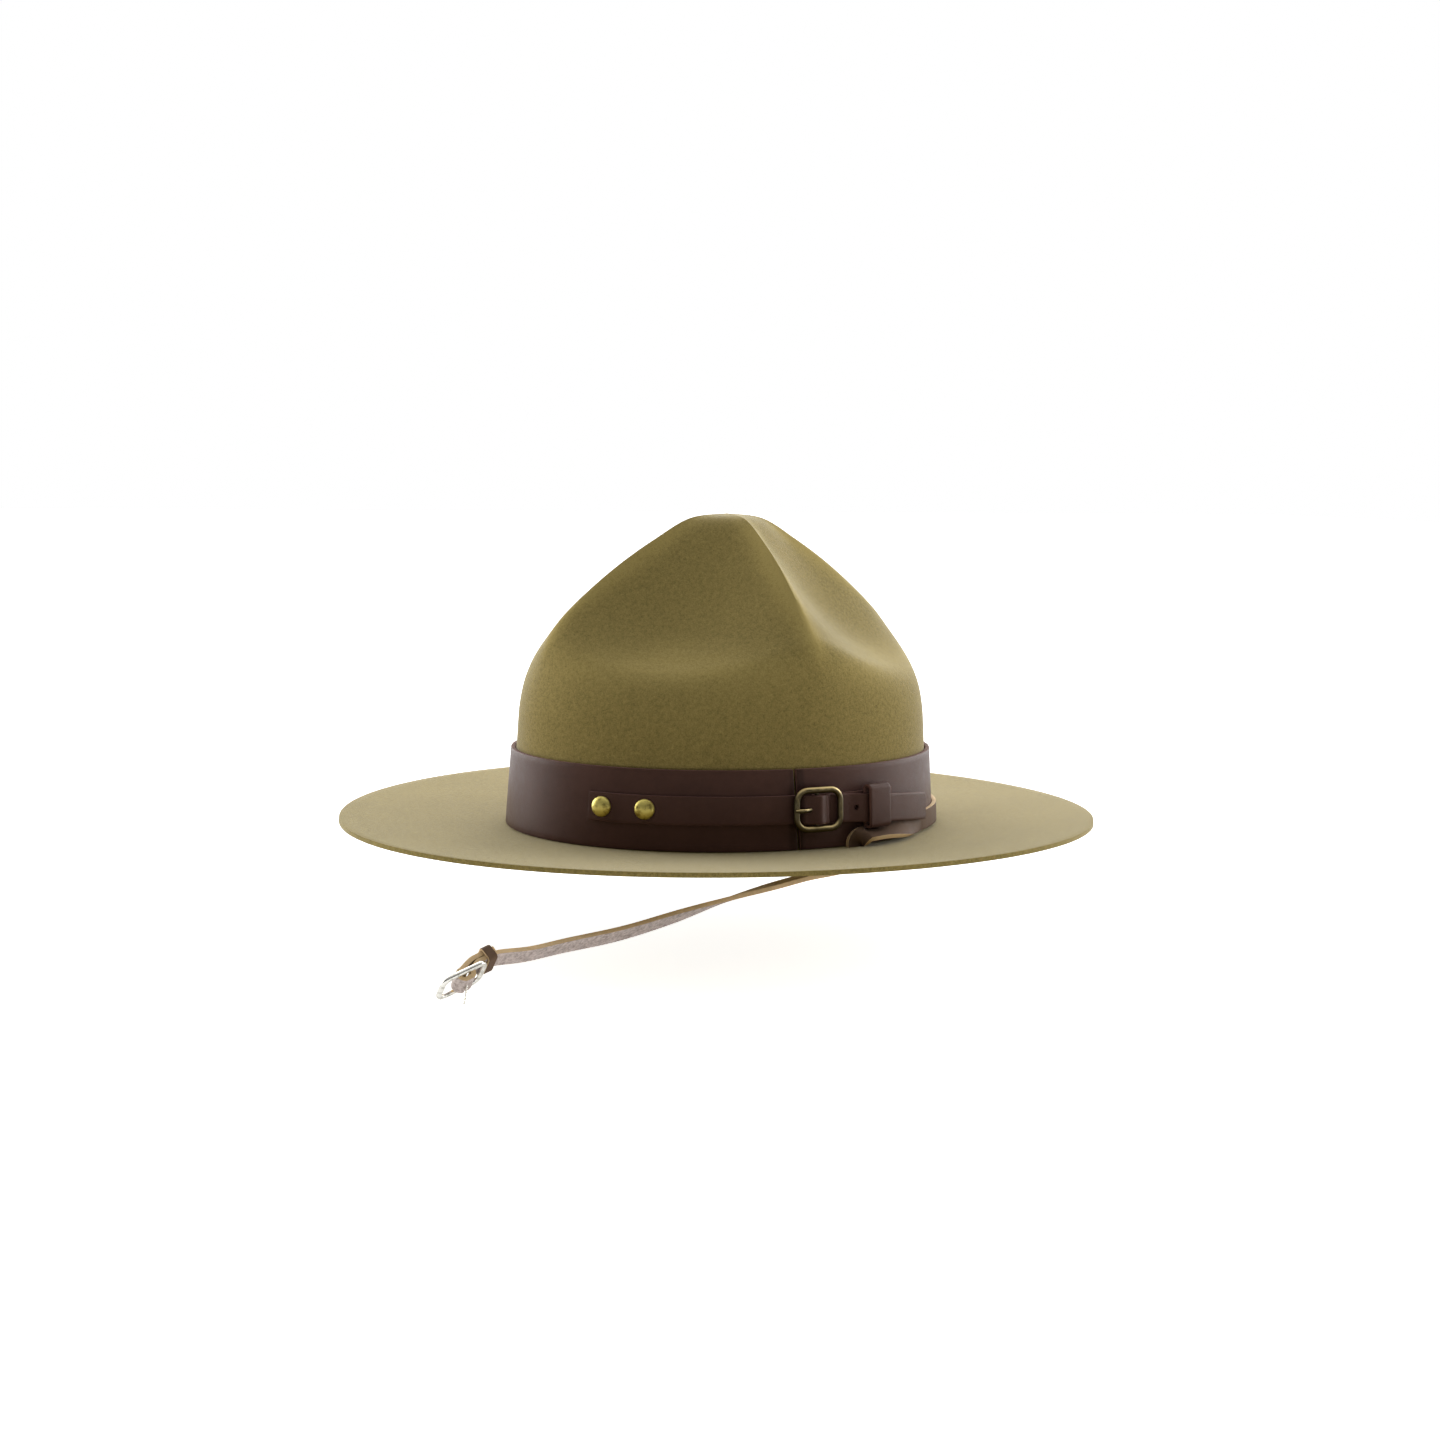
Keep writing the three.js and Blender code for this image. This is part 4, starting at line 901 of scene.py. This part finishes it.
class HAT_OT_felt_body(bpy.types.Operator):
    """Crown with four dents and the flat brim, one shell of felt"""

    bl_idname = "hat.felt_body"
    bl_label = "Felt body"

    def execute(self, context):
        detail = context.scene.hat_detail
        crown_part = detail.crown_rows / (detail.crown_rows + detail.brim_rows)

        def place(u, v):
            turn = u * 2 * math.pi
            on_crown = v <= crown_part + 1e-6
            crown = crown_place(turn, np.clip(1 - v / crown_part, 0, 1))
            brim = brim_place(turn, np.clip((v - crown_part) / (1 - crown_part), 0, 1))
            return np.where(on_crown[:, None], crown, brim)

        piece = sheet("felt_shell", detail.crown_rows + detail.brim_rows, detail.felt_columns, place)
        face_out(piece)
        thicken(piece, FELT, -1.0, detail.felt_edge)
        self.cut_slits(piece)
        self.paint_crest_highlights(piece)
        complete(piece, "hat", "felt_body", ("felt", "felt", "felt"), 50)
        return {"FINISHED"}

    def paint_crest_highlights(self, piece):
        """Marks the crown's ridges and the lips of its dents, where the felt is painted paler as a painted
        highlight.
        """
        places = read_places(piece)
        x, y, up = places[:, 0] / FOOT_SIDE, places[:, 1] / FOOT_FRONT, places[:, 2] / CROWN_HEIGHT
        away = np.minimum(np.abs(x), np.abs(y)) * FOOT_SIDE / (4.5 * MM)
        ridge = np.exp(-away**2) * np.clip((up - 0.54) / 0.1, 0, 1) * np.clip((1.02 - up) / 0.08, 0, 1)
        turn = np.arctan2(y, x)
        lip = np.exp(-(((up - 0.545) / 0.055) ** 2)) * np.abs(np.sin(2 * turn)) * 0.6
        # crest holds how strongly each point gets the painted highlight.
        crest = piece.data.attributes.new("crest", "FLOAT", "POINT")
        crest.data.foreach_set("value", np.maximum(ridge, lip).astype(np.float32))

    def cut_slits(self, piece):
        """Cuts the two strap slits through the brim."""
        origin, ahead, _, out = band_frame(SLIT_ALONG, 0.0)
        middle = origin + out * (GAP + CHIN_THICK / 2)
        for side in (1, -1):
            block = add(bpy.ops.mesh.primitive_cube_add, "slit", size=1)
            flat = read_places(block) * [CHIN_THICK + 2 * SLIT_ROOM, CHIN_WIDTH + 2 * SLIT_ROOM, 6 * FELT]
            turned = flat[:, :1] * out + flat[:, 1:2] * ahead
            turned[:, 2] = flat[:, 2]
            turned[:, :2] += middle[:2]
            turned[:, 0] *= side
            set_places(block, turned)
            if side < 0:
                edit(block, FACE_OUT)
            cut(piece, block)


class HAT_OT_hat_band(bpy.types.Operator):
    """Leather band round the crown's foot, with its butt joint"""

    bl_idname = "hat.hat_band"
    bl_label = "Hat band"

    def execute(self, context):
        first, last = SEAM_ALONG + SEAM_GAP / 2, SEAM_ALONG + BAND_LENGTH - SEAM_GAP / 2

        def place(u, v):
            up = mix(BAND_LIFT, BAND_HEIGHT, v)
            along = mix(first, last, u) + SEAM_SLANT * (0.5 - up / BAND_HEIGHT)
            return on_band(along, up, 0.0)

        piece = sheet("band_leather", 12, 480, place)
        face_out(piece)
        thicken(piece, BAND_THICK, -1.0, context.scene.hat_detail.leather_edge)
        complete(piece, "hat", "hat_band", BAND_SIDES)
        return {"FINISHED"}


class HAT_OT_band_strap(bpy.types.Operator):
    """Narrow strap over the band, under both bars of the buckle"""

    bl_idname = "hat.band_strap"
    bl_label = "Band strap"

    def execute(self, context):
        def place(u, v):
            along = mix(STRAP_FRONT, STRAP_TIP, u)
            short = np.clip(along - (STRAP_TIP - STRAP_CORNER), 0, STRAP_CORNER)
            half = STRAP_WIDTH / 2 - STRAP_CORNER + np.sqrt(np.maximum(0, STRAP_CORNER**2 - short**2))
            return on_band(along, strap_up(along) + (2 * v - 1) * half, strap_out(along) + STRAP_THICK)

        piece = sheet("strap_leather", 10, 520, place)
        face_out(piece)
        thicken(piece, STRAP_THICK, -1.0, context.scene.hat_detail.leather_edge)
        punch(piece, *band_frame(HOLE_ALONG, strap_up(HOLE_ALONG)))
        complete(piece, "hat", "band_strap", BAND_SIDES)
        return {"FINISHED"}


class HAT_OT_rivets(bpy.types.Operator):
    """Domed rivets at the strap's front end"""

    bl_idname = "hat.rivets"
    bl_label = "Rivets"

    def execute(self, context):
        seat = GAP + STRAP_THICK + 0.05 * MM
        radius, dome = RIVET_DIAMETER / 2, RIVET_HEIGHT - RIVET_RIM
        profile = [
            (0.0, seat), (radius - 0.4 * MM, seat), (radius, seat + 0.3 * MM), (radius, seat + RIVET_RIM),
        ]
        for angle in np.radians(np.linspace(7.5, 90.0, 12)):
            profile.append((radius * math.cos(angle), seat + RIVET_RIM + dome * math.sin(angle)))
        profile[-1] = (0.0, seat + RIVET_HEIGHT)
        for node, along in RIVETS.items():
            origin, ahead, rise, out = band_frame(along, STRAP_UP)
            piece = spun(
                node + "_dome", profile, 48,
                lambda x, y, z: origin + x[:, None] * ahead + y[:, None] * rise + z[:, None] * out,
            )
            complete(piece, "hat", node, ("brass",), 60)
        return {"FINISHED"}


class HAT_OT_band_buckle(bpy.types.Operator):
    """Centre-bar buckle on the band, its prong and the leather tab that holds it"""

    bl_idname = "hat.band_buckle"
    bl_label = "Band buckle"

    def execute(self, context):
        path = ring_path(BUCKLE_LENGTH, BUCKLE_WIDTH, BAR_WIDTH, BUCKLE_CORNER, to_band_buckle)
        ring = wire("band_buckle_ring", path, True, BAR_WIDTH, BAR_DEPTH)
        reach = BUCKLE_WIDTH / 2 - BAR_WIDTH / 2
        sunk = CENTRE_OUT - BAR_OUT
        half = [(reach, 0.0), (reach, 0.6 * sunk), (reach - 0.5 * MM, sunk)]
        bar = [
            (on_band(BUCKLE_ALONG, STRAP_UP + y, BAR_OUT + z), np.array([0.0, 1.0, 0.0]))
            for y, z in [*((-y, z) for y, z in half), (0.0, sunk), *reversed(half)]
        ]
        centre = wire("band_buckle_bar", bar, False, CENTRE_BAR, CENTRE_BAR, 12)
        hook = CENTRE_BAR / 2 + GAP + PRONG_DEPTH / 2
        top = BAR_OUT + BAR_DEPTH / 2 + GAP + PRONG_DEPTH / 2
        run = [
            (hook, CENTRE_OUT), (hook * 0.7, CENTRE_OUT + hook * 0.7), (0.0, CENTRE_OUT + hook),
            (-0.28 * HALF, CENTRE_OUT + hook + 0.5 * MM), (-0.62 * HALF, top - 0.1 * MM),
            (-0.86 * HALF, top), (-0.99 * HALF, top - GAP * 0.4),
        ]
        run = smooth_line(run, np.linspace(0, 1, 25))
        rows = [(on_band(BUCKLE_ALONG + x, STRAP_UP, z), np.array([0.0, 0.0, 1.0])) for x, z in run]
        taper = np.r_[np.ones(19), np.linspace(0.97, 0.62, 6)]
        prong = wire("band_buckle_tongue", rows, False, PRONG_WIDTH, PRONG_DEPTH, 12, taper)
        for piece, node in (
                (ring, "band_buckle_frame"), (centre, "band_buckle_frame"), (prong, "band_buckle_prong")):
            complete(piece, "hat", node, ("dark_brass",), 60)
        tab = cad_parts["band_buckle_tab"]
        tab.data.materials.clear()
        tab.data.materials.append(finishes()["band_edge"])
        return {"FINISHED"}


class HAT_OT_band_keeper(bpy.types.Operator):
    """Leather loop that holds the strap's free end"""

    bl_idname = "hat.band_keeper"
    bl_label = "Band keeper"

    def execute(self, context):
        depth = OVER_KEEPER + STRAP_THICK + KEEPER_ROOM + KEEPER_THICK - OVER_TAB
        inset = KEEPER_THICK / 2
        middle = OVER_TAB + depth / 2

        def place(u, x, y):
            along = KEEPER_ALONG + (u - 0.5) * KEEPER_LENGTH
            return on_band(along, strap_up(KEEPER_ALONG) + KEEPER_RISE + x, middle + y)

        piece = loop_sheet(
            "keeper_loop", KEEPER_HEIGHT - 2 * inset, depth - 2 * inset, KEEPER_ROUND - inset, 12, place)
        thicken(piece, KEEPER_THICK, 0.0, context.scene.hat_detail.leather_edge)
        complete(piece, "hat", "band_keeper", BAND_SIDES)
        return {"FINISHED"}


class HAT_OT_chin_strap(bpy.types.Operator):
    """Chin strap: free buckle end, slit, round the back, slit and holed end"""

    bl_idname = "hat.chin_strap"
    bl_label = "Chin strap"

    def execute(self, context):
        count = 900
        line, ahead, side, face, length = strip_places(chin_stations(), count)
        tip = CHIN_WIDTH / 2

        def place(u, v):
            i = np.clip(np.rint(u * (count - 1)).astype(int), 0, count - 1)
            left = (1 - u) * length
            narrow = np.sqrt(np.clip(1 - np.clip((tip - left) / tip, 0, 1) ** 2, 0.02, 1))
            return line[i] + side[i] * ((2 * v - 1) * CHIN_WIDTH / 2 * narrow)[:, None]

        piece = sheet("chin_leather_strap", 6, count - 1, place)
        polygon = piece.data.polygons[len(piece.data.polygons) // 2]
        near = np.argmin(((line - np.array(polygon.center)) ** 2).sum(-1))
        if np.array(polygon.normal) @ face[near] < 0:
            edit(piece, (bpy.ops.mesh.flip_normals, {}))
        thicken(piece, CHIN_THICK, 0.0, context.scene.hat_detail.leather_edge)
        for hole in range(CHIN_HOLES):
            i = round((1 - (CHIN_HOLE_FIRST + hole * CHIN_HOLE_SPACING) / length) * (count - 1))
            punch(piece, line[i], ahead[i], side[i], face[i])
        complete(piece, "hat", "chin_strap", ("chin_worn", "flesh", "tan"))
        return {"FINISHED"}


class HAT_OT_chin_keeper(bpy.types.Operator):
    """Leather loop behind the chin buckle"""

    bl_idname = "hat.chin_keeper"
    bl_label = "Chin keeper"

    def execute(self, context):
        stack = BEHIND_BAR - UNDER_STRAP + CHIN_THICK
        width = CHIN_WIDTH + 2 * CHIN_KEEPER_ROOM + CHIN_KEEPER_THICK
        depth = stack + 2 * GAP + CHIN_KEEPER_THICK
        middle = (BEHIND_BAR + UNDER_STRAP) / 2

        def place(u, x, y):
            ahead = CHIN_KEEPER_FROM + u * CHIN_KEEPER_LENGTH
            return at_buckle(ahead[:, None], (middle + y)[:, None], x[:, None])

        piece = loop_sheet("chin_keeper_loop", width, depth, 1.2 * MM, 6, place)
        thicken(piece, CHIN_KEEPER_THICK, 0.0, 0.25 * MM)
        complete(piece, "hat", "chin_keeper", ("chin", "flesh", "tan"))
        return {"FINISHED"}


class HAT_OT_chin_buckle(bpy.types.Operator):
    """Free centre-bar buckle of the chin strap, and its prong"""

    bl_idname = "hat.chin_buckle"
    bl_label = "Chin buckle"

    def execute(self, context):
        path = ring_path(CHIN_BUCKLE_LENGTH, CHIN_BUCKLE_WIDTH, CHIN_BAR_WIDTH, CHIN_CORNER, to_chin_buckle)
        ring = wire("chin_buckle_ring", path, True, CHIN_BAR_WIDTH, CHIN_BAR_DEPTH)
        reach = CHIN_BUCKLE_WIDTH / 2 - CHIN_BAR_WIDTH / 2
        bar = [(to_chin_buckle(0.0, y), BUCKLE_AHEAD) for y in np.linspace(-reach, reach, 5)]
        centre = wire("chin_buckle_bar", bar, False, CHIN_CENTRE, CHIN_CENTRE)
        curl = CHIN_CENTRE / 2 + GAP + CHIN_PRONG_DEPTH / 2
        tip = CHIN_BUCKLE_LENGTH / 2 - 0.4 * MM
        line = [(curl * math.cos(a), curl * math.sin(a)) for a in np.radians(np.linspace(-25, -270, 17))]
        line += [(tip * s, curl + 0.12 * MM * math.sin(3 * s)) for s in np.linspace(0.12, 1.0, 14)]
        cos, sin = math.cos(PRONG_HANG), math.sin(PRONG_HANG)
        rows = [(at_buckle(x * cos - z * sin, x * sin + z * cos), BUCKLE_SIDE) for x, z in line]
        taper = np.r_[np.ones(25), np.linspace(0.96, 0.6, 6)]
        prong = wire("chin_buckle_tongue", rows, False, CHIN_PRONG_WIDTH, CHIN_PRONG_DEPTH, 12, taper)
        for piece, body, node in (
                (ring, "chin_buckle", "chin_buckle_frame"), (centre, "chin_buckle", "chin_buckle_frame"),
                (prong, "chin_prong", "chin_buckle_prong")):
            complete(piece, body, node, ("nickel",), 60)
        return {"FINISHED"}


class HAT_OT_stage(bpy.types.Operator):
    """Pale floor, white surround, soft lights and the camera"""

    bl_idname = "hat.stage"
    bl_label = "Stage"

    def execute(self, context):
        settings = context.scene.hat_stage
        self.floor()
        self.surround(context, settings)
        self.lights(settings)
        context.scene.view_settings.view_transform = "Standard"
        self.camera(context, settings)
        return {"FINISHED"}

    def floor(self):
        """A pale floor that shows white, with only a faint shadow."""
        floor = add(bpy.ops.mesh.primitive_plane_add, "floor", size=14.0, location=(0, 0, LOW.z - 0.012))
        bpy.ops.object.transform_apply(location=True)
        made, shader, start = material("floor_white")
        connect(
            shader, Base_Color=(0.75, 0.75, 0.75, 1.0), Roughness=0.9, Specular_IOR_Level=0.0,
            Emission_Color=(1.0, 1.0, 1.0, 1.0), Emission_Strength=0.3,
        )
        shown = start.node("ShaderNodeBsdfPrincipled", inputs={
            "Base Color": (0.9, 0.895, 0.895, 1.0), "Roughness": 0.9, "Specular IOR Level": 0.0,
            "Emission Color": (1.0, 1.0, 1.0, 1.0), "Emission Strength": 0.76,
        })
        seen = start.node("ShaderNodeLightPath", output=0)
        plain = Socket(start.tree, shader.outputs[0])
        mixed = start.node("ShaderNodeMixShader", inputs={0: seen, 1: plain, 2: shown})
        start.tree.links.new(mixed.socket, start.tree.nodes["Material Output"].inputs["Surface"])
        floor.data.materials.append(made)

    def surround(self, context, settings):
        """A white backdrop: bright behind the hat and at its sides, dim behind the camera."""
        world = bpy.data.worlds.new("surround")
        world.use_nodes = True
        context.scene.world = world
        tree = world.node_tree
        shader = tree.nodes["Background"]
        start = Socket(tree)
        direction = start.node("ShaderNodeTexCoord", output=0)
        behind = dot(start, direction, (-math.sin(settings.azimuth), math.cos(settings.azimuth), 0.0))
        height = dot(start, direction, (0.0, 0.0, 1.0))
        low = 1.0 - height.step(0.2, 0.9) * 0.6
        backdrop = behind.step(-0.3, 0.8) * settings.backdrop * low
        light = backdrop + height.step(0.2, 1.0) * settings.overhead + settings.fill
        seen = start.node("ShaderNodeLightPath", output=0)
        strength = seen + (1.0 - seen) * light
        tree.links.new(strength.socket, shader.inputs["Strength"])
        shader.inputs["Color"].default_value = (1.0, 1.0, 1.0, 1.0)

    def lights(self, settings):
        """Soft panels to the left, the right and above, placed as the camera sees them."""
        right = Vector((math.cos(settings.azimuth), math.sin(settings.azimuth), 0))
        away = Vector((-math.sin(settings.azimuth), math.cos(settings.azimuth), 0))
        for name, place, share in (
            ("left_panel", right * -1.4 + away * 0.5 + Vector((0, 0, 0.35)), 1.0),
            ("right_panel", right * 1.4 + away * 0.45 + Vector((0, 0, 0.35)), 1.0),
            ("top_panel", away * 1.2 + Vector((0, 0, 1.2)), 0.6),
        ):
            data = bpy.data.lights.new(name, "AREA")
            data.size = 1.0
            data.energy = settings.panels * share
            lamp = bpy.data.objects.new(name, data)
            bpy.context.scene.collection.objects.link(lamp)
            lamp.location = place
            lamp.rotation_mode = "QUATERNION"
            lamp.rotation_quaternion = (place - Vector((0, 0, 0.05))).to_track_quat("Z", "Y")

    def camera(self, context, settings):
        """The camera at the photo's angle, aimed over the origin by its shift."""
        data = bpy.data.cameras.new("camera")
        data.sensor_width = 36.0
        data.lens = 55.0
        data.shift_x, data.shift_y = -0.0008, 0.0685
        a, e, r = settings.azimuth, settings.elevation, settings.roll
        right = Vector((math.cos(a), math.sin(a), 0))
        level = Vector((-math.sin(a), math.cos(a), 0))
        forward = level * math.cos(e) - Vector((0, 0, math.sin(e)))
        up = level * math.sin(e) + Vector((0, 0, math.cos(e)))
        right, up = right * math.cos(r) + up * math.sin(r), up * math.cos(r) - right * math.sin(r)
        camera = bpy.data.objects.new("camera", data)
        context.scene.collection.objects.link(camera)
        camera.matrix_world = Matrix.Translation(-forward * settings.distance) @ Matrix(
            (right, up, -forward)).transposed().to_4x4()
        context.scene.camera = camera


class HAT_PT_panel(bpy.types.Panel):
    """Lists the hat's pieces and settings"""

    bl_idname = "HAT_PT_panel"
    bl_label = "Campaign hat"
    bl_space_type = "VIEW_3D"
    bl_region_type = "UI"
    bl_category = "Hat"

    def draw(self, context):
        column = self.layout.column()
        for piece in PIECES:
            column.operator(piece.bl_idname)
        for group in (context.scene.hat_finish, context.scene.hat_detail, context.scene.hat_stage):
            for name in group.bl_rna.properties.keys():
                if name not in ("rna_type", "name"):
                    column.prop(group, name)


GROUPS = (HatFinish, HatDetail, StageSettings)
PIECES = (
    HAT_OT_felt_body, HAT_OT_hat_band, HAT_OT_band_strap, HAT_OT_rivets, HAT_OT_band_buckle,
    HAT_OT_band_keeper, HAT_OT_chin_strap, HAT_OT_chin_keeper, HAT_OT_chin_buckle, HAT_OT_stage,
)


def register():
    for made in (*GROUPS, *PIECES, HAT_PT_panel):
        bpy.utils.register_class(made)
    bpy.types.Scene.hat_finish = bpy.props.PointerProperty(type=HatFinish)
    bpy.types.Scene.hat_detail = bpy.props.PointerProperty(type=HatDetail)
    bpy.types.Scene.hat_stage = bpy.props.PointerProperty(type=StageSettings)


def unregister():
    del bpy.types.Scene.hat_stage, bpy.types.Scene.hat_detail, bpy.types.Scene.hat_finish
    for made in (HAT_PT_panel, *reversed(PIECES), *reversed(GROUPS)):
        bpy.utils.unregister_class(made)


def main():
    register()
    bpy.ops.hat.felt_body()
    bpy.ops.hat.hat_band()
    bpy.ops.hat.band_strap()
    bpy.ops.hat.rivets()
    bpy.ops.hat.band_buckle()
    bpy.ops.hat.band_keeper()
    bpy.ops.hat.chin_strap()
    bpy.ops.hat.chin_keeper()
    bpy.ops.hat.chin_buckle()
    bpy.ops.hat.stage()


if __name__ == "__main__":
    main()
